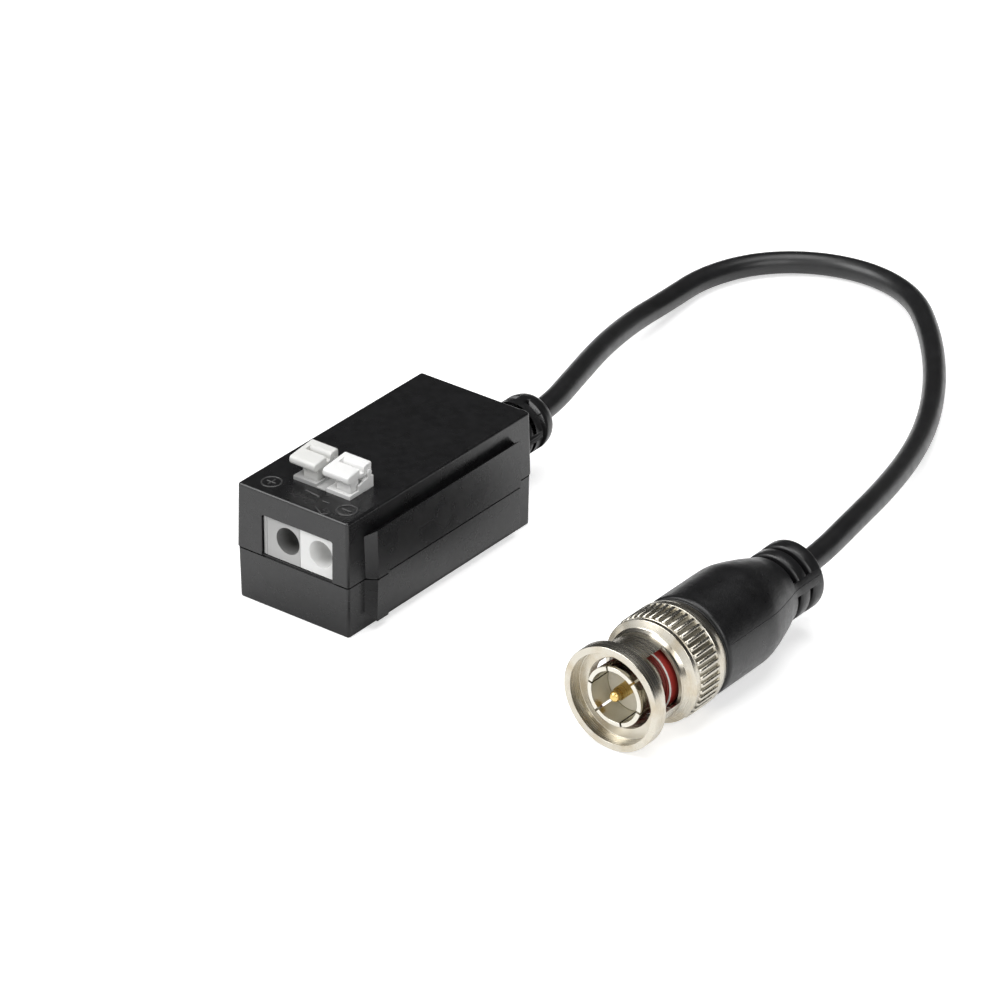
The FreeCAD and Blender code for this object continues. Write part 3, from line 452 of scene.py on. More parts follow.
class Finish:
    """A procedural material built on one Principled shader."""

    def __init__(self, name):
        self.material = bpy.data.materials.new(name)
        self.material.use_nodes = True
        self.tree = self.material.node_tree
        self.shader = self.tree.nodes["Principled BSDF"]
        coordinates = self.tree.nodes.new("ShaderNodeTexCoord")
        self.place = coordinates.outputs["Object"]

    def set(self, **values):
        fill(self.shader, **values)

    def add(self, kind, **settings):
        return put(self.tree.nodes.new(kind), **settings)

    def link(self, output, node, name):
        self.tree.links.new(output, node.inputs[name])

    def stretched(self, scale, offset=(0, 0, 0)):
        """Object coordinates, stretched and moved."""
        mapping = self.add("ShaderNodeMapping")
        fill(mapping, Scale=scale, Location=offset)
        self.link(self.place, mapping, "Vector")
        return mapping.outputs["Vector"]

    def noise(self, scale, detail=2.0, roughness=0.5, place=None):
        node = self.add("ShaderNodeTexNoise")
        fill(node, Scale=scale, Detail=detail, Roughness=roughness)
        self.link(place or self.place, node, "Vector")
        return node.outputs["Fac"]

    def ramp(self, value, stops):
        """A colour that changes with a value, through stops of position and colour."""
        node = self.add("ShaderNodeValToRGB")
        bands = node.color_ramp.elements
        while len(bands) < len(stops):
            bands.new(0.5)
        for band, (position, colour) in zip(bands, stops):
            band.position = position
            band.color = (*colour, 1.0)
        self.link(value, node, "Fac")
        return node.outputs["Color"]

    def ranged(self, value, low, high, start=0.3, end=0.7, kind="LINEAR"):
        """A value spread over a new range."""
        node = self.add("ShaderNodeMapRange", interpolation_type=kind)
        fill(node, From_Min=start, From_Max=end, To_Min=low, To_Max=high)
        self.link(value, node, "Value")
        return node.outputs["Result"]

    def colour(self, output):
        self.link(output, self.shader, "Base Color")

    def roughness(self, output):
        self.link(output, self.shader, "Roughness")

    def bump(self, height, distance, strength=1.0, below=None):
        """Relief on the surface. A second relief may lie below it."""
        node = self.add("ShaderNodeBump")
        fill(node, Distance=distance * MM, Strength=strength)
        self.link(height, node, "Height")
        if below:
            self.link(below, node, "Normal")
        self.link(node.outputs["Normal"], self.shader, "Normal")
        return node.outputs["Normal"]


FINISHES = {}


def finish(name):
    """The named material, made once."""
    if name not in FINISHES:
        if name in MOULDED:
            FINISHES[name] = moulded(name, *MOULDED[name])
        elif name in PLATED:
            FINISHES[name] = plated(name, *PLATED[name])
        else:
            FINISHES[name] = FINISH_MAKERS[name]()
    return FINISHES[name]


def darker(colour, share):
    return tuple(channel * share for channel in colour)


def grained(name, tone, stops, haze, dull, coarse, fine, ior=1.5):
    """Plastic with an uneven tone and gloss, a soft relief and a fine grain on it.

    tone and haze give a noise's scale and detail, dull the lowest and the highest roughness, and coarse and
    fine a noise's scale and detail with the relief's depth and strength.
    """
    made = Finish(name)
    made.colour(made.ramp(made.noise(*tone), stops))
    made.roughness(made.ranged(made.noise(*haze), *dull))
    below = made.bump(made.noise(*coarse[:2]), *coarse[2:])
    made.bump(made.noise(*fine[:2]), *fine[2:], below=below)
    made.set(IOR=ior)
    return made.material


def gloss_black():
    """Injection-moulded black plastic: glossy, with a faint moulding ripple and a fine grain."""
    looks = bpy.context.scene.balun_housing
    base = tuple(looks.colour)
    stops = [(0.35, darker(base, 0.8)), (0.65, darker(base, 1.25))]
    dull = (looks.roughness - 0.03, looks.roughness + 0.05)
    coarse, fine = (500, 2, 0.006, 0.5), (4200, 2, 0.009, 0.6)
    return grained("gloss_black", (900, 3), stops, (260, 4), dull, coarse, fine, 1.52)


def boot_black():
    """Soft black moulding compound with a dense fine grain."""
    base = tuple(bpy.context.scene.balun_lead.boot_colour)
    stops = [(0.3, darker(base, 0.75)), (0.7, darker(base, 1.3))]
    coarse, fine = (1100, 3, 0.02, 0.30), (4800, 3, 0.030, 0.9)
    return grained("boot_black", (300, 4), stops, (900, 3), (0.27, 0.38), coarse, fine, 1.48)


def jacket_black():
    """The lead's satin jacket, with faint ripples across it."""
    base = tuple(bpy.context.scene.balun_lead.jacket_colour)
    stops = [(0.3, darker(base, 0.8)), (0.7, darker(base, 1.3))]
    coarse, fine = (300, 2, 0.02, 0.3), (3600, 2, 0.006, 0.5)
    return grained("jacket_black", (350, 3), stops, (500, 3), (0.30, 0.40), coarse, fine)


def moulded(name, colour, roughness, grain=2500, depth=0.012, tint=0.06):
    """Satin moulded plastic with a fine grain and a slight unevenness of tone."""
    high = tuple(min(1.0, channel * (1 + tint / 2)) for channel in colour)
    stops = [(0.3, darker(colour, 1 - tint)), (0.7, high)]
    dull = (roughness - 0.05, roughness + 0.07)
    return grained(name, (180, 4), stops, (700, 3), dull, (420, 2, depth, 0.4), (grain, 2, depth * 0.5, 0.7))


def plated(name, colour, roughness, rings=0.5, worn=None):
    """Plated metal turned on a lathe: fine rings across the axis, small pits and a warm wear tint."""
    made = Finish(name)
    lathe = made.stretched((60, 3200, 60))
    marks = made.noise(1.0, 2, 0.5, place=lathe)
    stain = made.noise(330, 5, 0.6)
    worn = worn or darker(colour, 0.8)
    made.colour(made.ramp(stain, [(0.32, worn), (0.55, colour), (0.8, colour)]))
    made.roughness(made.ranged(marks, roughness - 0.03, roughness + 0.05))
    made.set(Metallic=1.0)
    pits = made.bump(made.noise(2600, 3), 0.008, 0.5)
    made.bump(marks, 0.004, rings, below=pits)
    return made.material


def nickel_plate():
    looks = bpy.context.scene.balun_plug
    base = tuple(looks.nickel_colour)
    worn = (base[0] * 0.86, base[1] * 0.80, base[2] * 0.70)
    return plated("nickel_plate", base, looks.nickel_roughness, 0.3, worn)


def ridge_plate():
    """The knurl's ridges, which a wheel has pressed smooth."""
    looks = bpy.context.scene.balun_plug
    base = tuple(looks.nickel_colour)
    return plated("ridge_plate", base, looks.nickel_roughness, 0.0, darker(base, 0.85))


def copper_wire():
    made = Finish("copper_wire")
    tone = made.noise(700, 3)
    made.colour(made.ramp(tone, [(0.3, (0.45, 0.14, 0.05)), (0.7, (0.68, 0.27, 0.10))]))
    made.roughness(made.ranged(made.noise(1200, 2), 0.18, 0.30))
    made.bump(made.noise(2400, 2), 0.006, 0.5)
    made.set(Metallic=1.0, Coat_Weight=0.6, Coat_Roughness=0.15)
    return made.material


def board_green():
    """The board's lacquer, with the weave showing through."""
    made = Finish("board_green")
    made.colour(made.ramp(made.noise(260, 4), [(0.3, (0.012, 0.09, 0.03)), (0.7, (0.02, 0.14, 0.05))]))
    made.roughness(made.ranged(made.noise(800, 3), 0.25, 0.40))
    made.bump(made.noise(1400, 2), 0.01, 0.5)
    return made.material


# Each has its colour and roughness, and some the scale and depth of their grain and the strength of their tint.
# entry_shade is painted shade on the wall inside the grey module's wire hole. The narrow nickel ring on the seal
# gets a pale plastic look, a painted highlight for its bright edge.
MOULDED = {
    "terminal_grey": ((0.46, 0.46, 0.455), 0.48),
    "entry_shade": ((0.20, 0.20, 0.197), 0.5),
    "terminal_white": ((0.84, 0.84, 0.83), 0.45),
    "lever_cream": ((0.70, 0.70, 0.68), 0.42),
    "lever_white": ((0.84, 0.84, 0.83), 0.40),
    "mark_grey": ((0.05, 0.05, 0.05), 0.35),
    "washer_highlight": ((0.82, 0.81, 0.78), 0.30),
    "ferrite": ((0.045, 0.045, 0.05), 0.62, 3800, 0.03, 0.25),
    "arrester_ceramic": ((0.78, 0.77, 0.74), 0.25, 1800, 0.008),
    "capacitor_ceramic": ((0.40, 0.29, 0.18), 0.55, 3000, 0.015),
    "wire_core": ((0.82, 0.82, 0.80), 0.35, 2000, 0.01),
    "insulator_cream": ((0.85, 0.82, 0.72), 0.42, 1800, 0.012, 0.10),
    "gasket_red": ((0.34, 0.025, 0.018), 0.45, 2600, 0.03, 0.25),
}

# Each has its colour and roughness, how strong its lathe marks are, and some the colour where it is worn.
# The first is the dull ground between the knurl's ridges, its colour darkened as painted shade for the hollows;
# sleeve_plate is the smoother contact sleeve.
PLATED = {
    "valley_plate_and_shade": ((0.36, 0.33, 0.26), 0.42, 0.1),
    "sleeve_plate": ((0.66, 0.64, 0.57), 0.15, 0.1, (0.60, 0.57, 0.49)),
    "gold_plate": ((0.78, 0.58, 0.22), 0.28, 0.2, (0.62, 0.42, 0.16)),
    "spring_steel": ((0.58, 0.57, 0.55), 0.28, 0.3),
    "tinned_brass": ((0.74, 0.71, 0.62), 0.32, 0.3),
}

FINISH_MAKERS = {
    maker.__name__: maker for maker in (
        gloss_black, boot_black, jacket_black, nickel_plate, ridge_plate, copper_wire, board_green,
    )
}


def painted(piece, slot):
    """Gives a piece its material."""
    piece.data.materials.clear()
    piece.data.materials.append(finish(slot))
    return piece


def paint_some(piece, slot, chosen):
    """Gives a further material to the faces whose middle the test picks."""
    index = len(piece.data.materials)
    piece.data.materials.append(finish(slot))
    for face in piece.data.polygons:
        if chosen(face.center / MM):
            face.material_index = index


def placed(piece, body, slot, *nodes):
    """Gives a finished piece its body and, if it has no material yet, the slot's material, and hides the solids
    that it stands for.
    """
    if not piece.data.materials:
        painted(piece, slot)
    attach(piece, body)
    if nodes:
        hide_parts(*nodes)
    return piece


def dress_node(node, slot):
    """Gives one of the part's own solids its material."""
    painted(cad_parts[node], slot)


# Pieces of the housing

# How far the middles of the marks' lines lie over the cover.
MARK_RISE = 0.01


def polarity_mark(x, y, plus):
    """A raised ring with a plus or a minus inside it."""
    radius = 1.36
    line = 0.12
    bar = 0.72
    middle = HOUSING_X + x
    z = TOP_Z + MARK_RISE
    turns = [2 * math.pi * step / 48 for step in range(49)]
    ring = [(middle + radius * math.cos(angle), y + radius * math.sin(angle), z) for angle in turns]
    lines = [
        wire_along("ring", ring, line),
        wire_along("bar", [(middle - bar, y, z), (middle + bar, y, z)], line),
    ]
    if plus:
        lines.append(wire_along("post", [(middle, y - bar, z), (middle, y + bar, z)], line))
    return lines


def cover_marks():
    """The generic marks round the levers: a plus and a minus in rings, and a wiring sketch."""
    lines = polarity_mark(-5.75, FRONT_Y + 2.98, True)
    lines += polarity_mark(6.9, FRONT_Y + 3.12, False)
    for index, points in enumerate((
        [(-0.9, 4.0), (1.75, 3.85)],
        [(0.3, 3.85), (1.9, 3.6)],
        [(2.8, 3.15), (3.95, 3.2)],
        [(3.0, 1.35), (4.9, 0.35), (5.45, 0.9)],
    )):
        path = [(HOUSING_X + x, FRONT_Y + y, TOP_Z + MARK_RISE) for x, y in points]
        lines.append(wire_along("sketch_%d" % index, path, 0.08))
    return lines


def parting_groove():
    """A ring to cut from the base's top edge, which leaves a fine shadow line under the cover."""
    height = 0.28
    depth = 0.35
    heights = (PARTING_Z - height, PARTING_Z + 0.5)
    within = (heights[0] - 1, heights[1] + 1)
    side = HOUSING_X + HALF_WIDTH
    inner = (side - 2 * HALF_WIDTH + depth, side - depth)
    ring = block("groove", (-14, 14), (-24, 24), heights)
    cut(ring, block("body", inner, (FRONT_Y + depth, REAR_Y - depth), within))
    post = side + POST_PROUD - depth
    rail = side + 0.78
    outline = [
        (side - 1, -15.75), (side, -15.75), (post, -15.0), (post, -13.2), (rail, -13.2), (rail, 15.6),
        (side - 1, 15.6),
    ]
    return cut(ring, prism("rail", outline, within))


def edge_share(middle):
    """How round an edge of the housing is: the cover's outer top edge and the rail post's rear edge more."""
    aside = abs(middle.x - HOUSING_X)
    along = abs(middle.y)
    near_side, near_end = aside > HALF_WIDTH - 0.3, along > REAR_Y - 0.28
    corner = aside > HALF_WIDTH - 0.8 and along > REAR_Y - 0.78
    outer = near_side or near_end or corner
    if abs(middle.y - POST_REAR_Y) < 0.3 and middle.x - HOUSING_X > HALF_WIDTH + POST_PROUD - 0.25:
        return 1.0
    return 0.9 if middle.z > TOP_Z - 0.05 and outer else 0.5


def make_housing():
    looks = bpy.context.scene.balun_housing
    for name, node in (("housing_cover", "upper_cover"), ("housing_base", "lower_base")):
        piece = solid_copy(name, node)
        if node == "lower_base":
            cut(piece, parting_groove())
        round_by_weight(piece, 2 * looks.edge_radius / MM, edge_share)
        placed(piece, "balun", "gloss_black", node)
    marks = painted(joined("cover_marks", cover_marks()), "mark_grey")
    placed(marks, "balun", "gloss_black")


def make_terminals():
    for name, node, slot in (
        ("terminal_block_left", "terminal_left", "terminal_grey"),
        ("terminal_block_right", "terminal_right", "terminal_white"),
        ("terminal_side_plate", "terminal_end_plate", "terminal_grey"),
    ):
        piece = painted(bevelled(solid_copy(name, node), 0.1), slot)
        if node == "terminal_left":
            left, front = (min(point.co[way] for point in piece.data.vertices) / MM for way in (0, 1))
            # The wall inside the grey module's wire hole gets painted shade.
            paint_some(piece, "entry_shade", lambda middle: (
                math.hypot(middle.x - left - ENTRY_FROM_LEFT, middle.z - ENTRY_Z) < ENTRY_RADIUS + 0.02
                and middle.y > front + 0.12
            ))
        placed(piece, "balun", slot, node)


def make_levers():
    for name, node, slot in (
        ("lever_cap_left", "lever_left", "lever_cream"),
        ("lever_cap_right", "lever_right", "lever_white"),
    ):
        placed(bevelled(solid_copy(name, node), 0.12, 3), node, slot, node)


def make_relief():
    """The strain relief on the housing: a slotted round body with a domed end."""
    length = 13.4
    outline = [
        (-2.95, 0.97), (-2.95, 4.9), (-1.45, 4.9), (-1.45, 3.3), (0.05, 3.3), (0.05, 3.5), (0.15, 3.6),
        (4.9, 3.6), (5.1, 3.64), (5.35, 4.02), (5.5, 4.05),
    ]
    outline += flowing([(11.0, 4.05), (12.1, 3.78), (12.95, 3.15), (length, 2.1)])
    outline += [(length, 1.67), (9.4, 1.67), (9.4, 0.97)]
    piece = turned("strain_relief", outline, RELIEF)
    slot_width, slot_step, slot_floor = 0.8, 2.05, 2.9
    last_slot = length - 3.0
    half_rib = 9
    for row in range(4):
        end = last_slot - row * slot_step
        turn = 90 * (row % 2)
        angles = (turn + 90 + half_rib, turn + 270 - half_rib)
        half = sector("slot", band(end - slot_width, end, slot_floor, 5.0), angles, RELIEF)
        cut(piece, copied_about(half, 2, RELIEF))
    placed(bevelled(piece, 0.14), "balun", "boot_black", "housing_strain_relief")


def make_cable():
    """The lead, one smooth line from the strain relief to the boot."""
    lead = round_bar("lead", ROUTE, bpy.context.scene.balun_lead.diameter / 2, 10, "NURBS")
    lead.data.resolution_u = 16
    put(lead.data.splines[0], order_u=3, use_endpoint_u=True)
    placed(lead, "balun", "jacket_black", "cable")


def declare_cord():
    """Gathers the pieces on the lead into a list, which is not used further."""
    on_it = [
        bpy.data.objects[name] for name in (
            "strain_relief", "boot", "bayonet_nut", "contact_sleeve", "dielectric", "signal_pin",
            "seal", "seal_washer",
        )
    ]
    for node in (
        "signal_wire", "braid_tail", "crimp_ferrule", "plug_core", "plug_body", "spring_washer",
        "retaining_ring",
    ):
        on_it.append(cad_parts[node])


def make_boot():
    """The plug's moulded boot: a full body, a curved shoulder and a slotted neck."""
    shoulder = flowing([
        (24.6, 7.25), (26.5, 7.2), (28.2, 6.87), (29.8, 6.42), (31.5, 5.9), (33.0, 5.35), (34.2, 4.95),
    ])
    outline = [
        (15.7, 5.42), (15.7, 6.85), (15.78, 6.95), (15.98, 6.93), (16.0, 7.04), (16.1, 7.15), (16.3, 7.23),
        (16.6, 7.25),
    ]
    outline += shoulder + [
        (35.4, 4.95), (39.8, 5.0), (40.1, 4.93), (40.3, 4.75), (40.4, 4.45), (40.4, 1.67), (26.6, 1.67),
        (26.6, 2.52), (19.02, 2.52), (19.02, 5.42),
    ]
    piece = on_plug("boot", outline)
    slot_step = 2.75
    for row in range(2):
        half = sector("slot", flared_slot(34.3 + row * slot_step, 3.7, 4.98), (32, 190), PLUG)
        cut(piece, copied_about(half, 2, PLUG))
    bevelled(piece, 0.16, 3)
    shells = [piece]
    for angle in (math.radians(21), math.radians(201)):
        path = [round_axis(PLUG, *point, angle) for point in [(16.7, 7.25)] + shoulder + [(39.6, 4.99)]]
        shells.append(wire_along("seam", path, 0.045, 2))
    placed(joined("boot", shells), "balun", "boot_black", "plug_boot")


KNURL_RADIUS = 7.45


def knurl_ridge():
    """One straight ridge of the nut, with a narrow rounded back and sloping ends."""
    shape = bmesh.new()
    rows = []
    half = [(0.31, -0.36), (0.27, -0.13), (0.2, -0.045), (0.1, -0.008)]
    profile = [(-side, drop) for side, drop in half] + [(0.0, 0.0)] + half[::-1]
    for station, rise in ((9.6, -0.3), (9.72, -0.12), (9.9, 0.0), (13.4, 0.0), (13.58, -0.05), (13.72, -0.27)):
        row = []
        for side, drop in profile:
            radius = KNURL_RADIUS + rise + drop * (1 if rise > -0.2 else 0.4)
            row.append(vertex(shape, (PLUG_X + radius, PLUG_FRONT + station, PLUG_Z + side)))
        rows.append(row)
    return skinned("ridges", shape, rows)


def make_nut():
    """The bayonet nut: rim, waist with two windows, shoulder and knurl."""
    looks = bpy.context.scene.balun_plug
    outline = rounded([
        (0, 6.4, 0.06), (0, 7.37, 0.14), (1.95, 7.37, 0.12),
        (2.02, 6.85, 0.15), (2.45, 6.25, 0.3), (3.1, 6.0, 0.5),
        (7.6, 6.0, 0.35), (8.2, 6.3, 0.35), (8.72, 7.26, 0.12), (9.35, 7.2, 0.06),
        (9.5, 7.0, 0.04), (9.62, 7.12, 0.04), (13.5, 7.12, 0),
        (13.6, 7.36, 0.02), (13.68, 7.41, 0.03), (14.3, 7.41, 0.1), (15.45, 7.04, 0.12),
        (15.45, 6.02, 0.05), (12.05, 6.02, 0), (12.05, 6.45, 0), (11.15, 6.45, 0), (11.15, 6.0, 0),
        (9.15, 6.0, 0), (9.15, 4.95, 0.05), (8.2, 4.95, 0.05), (8.2, 5.5, 0.1), (5.9, 5.5, 0.2),
        (5.9, 4.95, 0.05), (2.0, 4.95, 0.08), (2.0, 6.4, 0.1),
    ], 4)
    piece = on_plug("bayonet_nut", outline, 176)
    stations = (PLUG_FRONT + 3.6, PLUG_FRONT + 7.15)
    half_window = 3.84
    window_turn = -22.7
    heights = (PLUG_Z - half_window, PLUG_Z + half_window)
    window = block("window", (PLUG_X + 2.0, PLUG_X + 8.0), stations, heights)
    turn_on_plug(window, window_turn)
    cut(piece, copied_about(window, 2, PLUG))
    groove = sector("groove", band(-1.0, 4.2, 4.0, 5.6), (28, 62), PLUG)
    cut(piece, copied_about(groove, 2, PLUG))
    bevelled(piece, 0.07)
    ridges = copied_about(knurl_ridge(), looks.ridge_count, PLUG, finish("ridge_plate"))
    smooth(ridges, 50)
    painted(piece, "nickel_plate")
    # The ground between the knurl's ridges gets a duller finish, its colour darkened with painted shade.
    paint_some(piece, "valley_plate_and_shade", lambda middle: (
        PLUG_FRONT + 9.8 < middle.y < PLUG_FRONT + 13.45
        and math.hypot(middle.x - PLUG_X, middle.z - PLUG_Z) > KNURL_RADIUS - 0.55
    ))
    placed(joined("bayonet_nut", [piece, ridges]), "coupling_nut", "nickel_plate", "coupling_nut")


def plug_piece(name, outline, slot, node, segments=128, degrees=60.0, look=None):
    """A turned and smoothed piece of the plug, in the slot's finish or in a look of its own."""
    piece = smooth(on_plug(name, outline, segments), degrees)
    placed(painted(piece, look or slot), "balun", slot, node)


def make_contacts():
    """What the plug's mouth shows: the slit sleeve, the dielectric, the pin and the red seal."""
    sleeve = on_plug("contact_sleeve", rounded([
        (0.75, 3.6, 0.08), (0.75, 4.25, 0.12), (1.25, 4.25, 0.15), (5.6, 4.1, 0.5),
        (10.2, 4.1, 0), (10.2, 3.6, 0),
    ], 4), 180)
    half_slit = 0.15
    first_slit = 13.5
    stations = (PLUG_FRONT - 1, PLUG_FRONT + 5.6)
    slit = block("slit", (PLUG_X, PLUG_X + 6), stations, (PLUG_Z - half_slit, PLUG_Z + half_slit))
    turn_on_plug(slit, first_slit)
    cut(sleeve, copied_about(slit, 6, PLUG))
    painted(bevelled(sleeve, 0.06), "sleeve_plate")
    placed(sleeve, "balun", "nickel_plate", "outer_contact")

    plug_piece("dielectric", rounded([
        (4.3, 0.97, 0.05), (4.3, 3.58, 0.12), (10.2, 3.58, 0), (10.2, 3.0, 0), (15.0, 3.0, 0), (15.0, 0.97, 0),
    ], 3), "insulator_cream", "insulator", 96, 35.0)

    nose_middle = 1.10
    nose_radius = 0.75
    quarter = [math.radians(90 * step / 8) for step in range(9)]
    nose = [(nose_middle - nose_radius * math.cos(turn), nose_radius * math.sin(turn)) for turn in quarter]
    pin = nose + [(1.45, 0.77), (1.75, 0.92), (15.0, 0.95), (15.0, 0.0)]
    plug_piece("signal_pin", pin, "gold_plate", "centre_pin", 48, 35.0)

    plug_piece("seal", rounded([
        (6.4, 4.12, 0.1), (6.4, 4.88, 0.25), (8.3, 4.88, 0.25), (8.3, 4.12, 0.1),
    ], 5), "gasket_red", "face_gasket")

    # The seal's nickel ring is painted in a pale plastic look, a painted highlight for its bright edge.
    plug_piece("seal_washer", rounded([
        (6.25, 4.68, 0.04), (6.25, 4.88, 0.05), (6.4, 4.88, 0.03), (6.4, 4.68, 0.03),
    ], 3), "nickel_plate", "gasket_washer", look="washer_highlight")


def make_inside():
    """Materials for the solids that the housing and the boot hide, and wire turns on the core."""
    for node, slot in (
        ("clamp_spring_left", "spring_steel"), ("clamp_spring_right", "spring_steel"),
        ("contact_left", "tinned_brass"), ("contact_right", "tinned_brass"),
        ("circuit_board", "board_green"), ("ferrite_core", "ferrite"),
        ("surge_arrester", "arrester_ceramic"), ("filter_capacitor", "capacitor_ceramic"),
        ("signal_wire", "wire_core"), ("braid_tail", "tinned_brass"),
        ("crimp_ferrule", "nickel_plate"), ("plug_core", "wire_core"), ("plug_body", "nickel_plate"),
        ("spring_washer", "spring_steel"), ("retaining_ring", "spring_steel"),
    ):
        dress_node(node, slot)
    x = HOUSING_X + 0.6
    y = 1.53
    wire = 0.2
    over = wire + 0.05
    low, high = 6.1 - over, 9.3 + over
    inner, outer = 2.5 - over, 4.5 + over
    corner = 0.3
    loop = [
        (inner, low + corner), (inner + corner, low), (outer - corner, low), (outer, low + corner),
        (outer, high - corner), (outer - corner, high), (inner + corner, high), (inner, high - corner),
        (inner, low + corner),
    ]
    first_turn, turn_count, turn_step = -72, 13, 12
    halves = []
    for side in (0, 180):
        turn = wire_along("turn", [(x + radius, y, z) for radius, z in loop], wire, 2)
        turn_about(turn, (x, y, 0), side + first_turn, "Z")
        halves.append(copied_round(turn, turn_count, turn_step, (x, y, 0), (0, 0, 1), finish("copper_wire")))
    placed(joined("winding_turns", halves), "balun", "copper_wire", "choke_winding")


# The stage

def floor_finish():
    """A pale floor that the camera sees as white, with the object's shadow kept.

    Reflections see it as white too, apart from three soft shades: between the housing and the plug,
    before the housing, and before its corner.
    """
    looks = bpy.context.scene.balun_studio
    made = Finish("pale_floor")
    made.set(Roughness=0.9, Emission_Color=(1, 1, 1, 1), Specular_IOR_Level=0.0)
    pale = made.ramp(made.noise(3, 2), [(0.0, (0.86, 0.86, 0.86)), (1.0, (0.88, 0.88, 0.88))])
    rays = made.add("ShaderNodeLightPath")

    def result(operation, first, second):
        node = made.add("ShaderNodeMath", operation=operation)
        for index, value in enumerate((first, second)):
            if isinstance(value, float):
                node.inputs[index].default_value = value
            else:
                made.tree.links.new(value, node.inputs[index])
        return node.outputs[0]

    def open_share_of(middle, reach, start, end, depth):
        """A share that falls from 1 outside an oval on the floor to a lower one inside it."""
        shares = [1 / value for value in reach]
        place = made.stretched((*shares, 0), (-middle[0] * shares[0], -middle[1] * shares[1], 0))
        away = made.add("ShaderNodeVectorMath", operation="LENGTH")
        made.link(place, away, "Vector")
        return made.ranged(away.outputs["Value"], 1 - depth, 1.0, start, end, "SMOOTHSTEP")

    between = open_share_of((0.032, 0.009), (0.018, 0.025), 0.62, 1.2, looks.shade_depth)
    before = open_share_of((0.006, -0.016), (0.030, 0.018), 0.0, 1.1, looks.front_shade_depth)
    corner = open_share_of((0.021, -0.024), (0.010, 0.009), 0.5, 1.3, looks.corner_shade_depth)
    shares = result("MULTIPLY", result("MULTIPLY", between, before), corner)
    shade = result("SUBTRACT", 1.0, shares)
    open_share = result("SUBTRACT", 1.0, result("MULTIPLY", shade, rays.outputs["Is Glossy Ray"]))
    tint = made.add("ShaderNodeVectorMath", operation="SCALE")
    made.link(pale, tint, "Vector")
    made.link(open_share, tint, "Scale")
    made.colour(tint.outputs["Vector"])
    plain = result("MAXIMUM", rays.outputs["Is Camera Ray"], rays.outputs["Is Transmission Ray"])
    mirrored = result("MULTIPLY", rays.outputs["Is Glossy Ray"], looks.mirrored_glow)
    glow = result("ADD", result("MULTIPLY", plain, looks.floor_glow), mirrored)
    made.link(result("MULTIPLY", glow, open_share), made.shader, "Emission Strength")
    return made.material


def add_lamp(name, place, aim, size, power):
    """A soft square lamp that points at a place. Places and size are in metres."""
    data = bpy.data.lights.new(name, "AREA")
    put(data, shape="RECTANGLE", size=size, size_y=size, energy=power)
    turn = (Vector(aim) - Vector(place)).to_track_quat("-Z", "Y")
    put(piece_from(name, data), location=place, rotation_euler=turn.to_euler())


def make_camera():
    """The camera at the photograph's view."""
    looks = bpy.context.scene.balun_studio
    azimuth = looks.azimuth
    elevation = looks.elevation
    back = Vector((
        math.sin(azimuth) * math.cos(elevation), -math.cos(azimuth) * math.cos(elevation), math.sin(elevation)
    ))
    right = Vector((math.cos(azimuth), math.sin(azimuth), 0))
    up = back.cross(right)
    data = bpy.data.cameras.new("camera")
    camera = piece_from("camera", put(data, sensor_width=36.0, lens=looks.lens, clip_start=0.01))
    aside = right * looks.aim_right + up * looks.aim_up + Vector((HOUSING_X * MM, 0, 0))
    turn = Matrix((right, up, back)).transposed().to_4x4()
    camera.matrix_world = Matrix.Translation(back * looks.distance + aside) @ turn
    bpy.context.scene.camera = camera


def surroundings():
    """A dim plain light all round, and a bright space before the object that only reflections see."""
    looks = bpy.context.scene.balun_studio
    world = bpy.data.worlds.new("studio")
    world.use_nodes = True
    tree = world.node_tree
    sky = tree.nodes["Background"]
    fill(sky, Color=(1, 1, 1, 1))
    kinds = ("TexCoord", "SeparateXYZ", "MapRange", "LightPath", "Math")
    towards, parts, front, rays, glow = (tree.nodes.new("ShaderNode" + kind) for kind in kinds)
    fill(front, From_Min=-0.25, From_Max=-0.65, To_Min=0.0, To_Max=looks.front_glow)
    glow.operation = "MULTIPLY_ADD"
    glow.inputs[2].default_value = looks.world_strength
    for output, socket in (
        (towards.outputs["Generated"], parts.inputs[0]),
        (parts.outputs["Y"], front.inputs["Value"]),
        (front.outputs["Result"], glow.inputs[0]),
        (rays.outputs["Is Glossy Ray"], glow.inputs[1]),
        (glow.outputs[0], sky.inputs["Strength"]),
    ):
        tree.links.new(output, socket)
    return world


def make_stage():
    looks = bpy.context.scene.balun_studio
    scene = bpy.context.scene
    half = 1.6
    corners = ((-half, -half, 0), (half, -half, 0), (half, half, 0), (-half, half, 0))
    mesh = bpy.data.meshes.new("floor")
    mesh.from_pydata(corners, [], [(0, 1, 2, 3)])
    floor = piece_from("floor", mesh)
    floor.data.materials.append(floor_finish())
    aim = (0.02, 0.03, 0)
    add_lamp("key", (-0.45, -0.46, 0.69), aim, 0.6, looks.key_power)
    add_lamp("fill", (0.75, -0.30, 0.55), aim, 0.5, looks.fill_power)
    add_lamp("top", (0.05, 0.10, 0.95), (0.05, 0.05, 0), 0.7, looks.top_power)
    scene.world = surroundings()
    scene.view_settings.view_transform = "Standard"


# Settings

class BalunHousingLooks(bpy.types.PropertyGroup):
    colour: bpy.props.FloatVectorProperty(
        name="Housing colour", description="Colour of the housing's plastic", subtype="COLOR",
        default=(0.008, 0.008, 0.0085), min=0, max=1)
    roughness: bpy.props.FloatProperty(
        name="Housing roughness", description="How dull the housing's plastic is", subtype="FACTOR",
        default=0.27, min=0.05, max=1)
    edge_radius: bpy.props.FloatProperty(
        name="Edge radius", description="Rounding of the housing's sharp edges", unit="LENGTH",
        subtype="DISTANCE", default=0.00017, min=0.00002, max=0.0005)


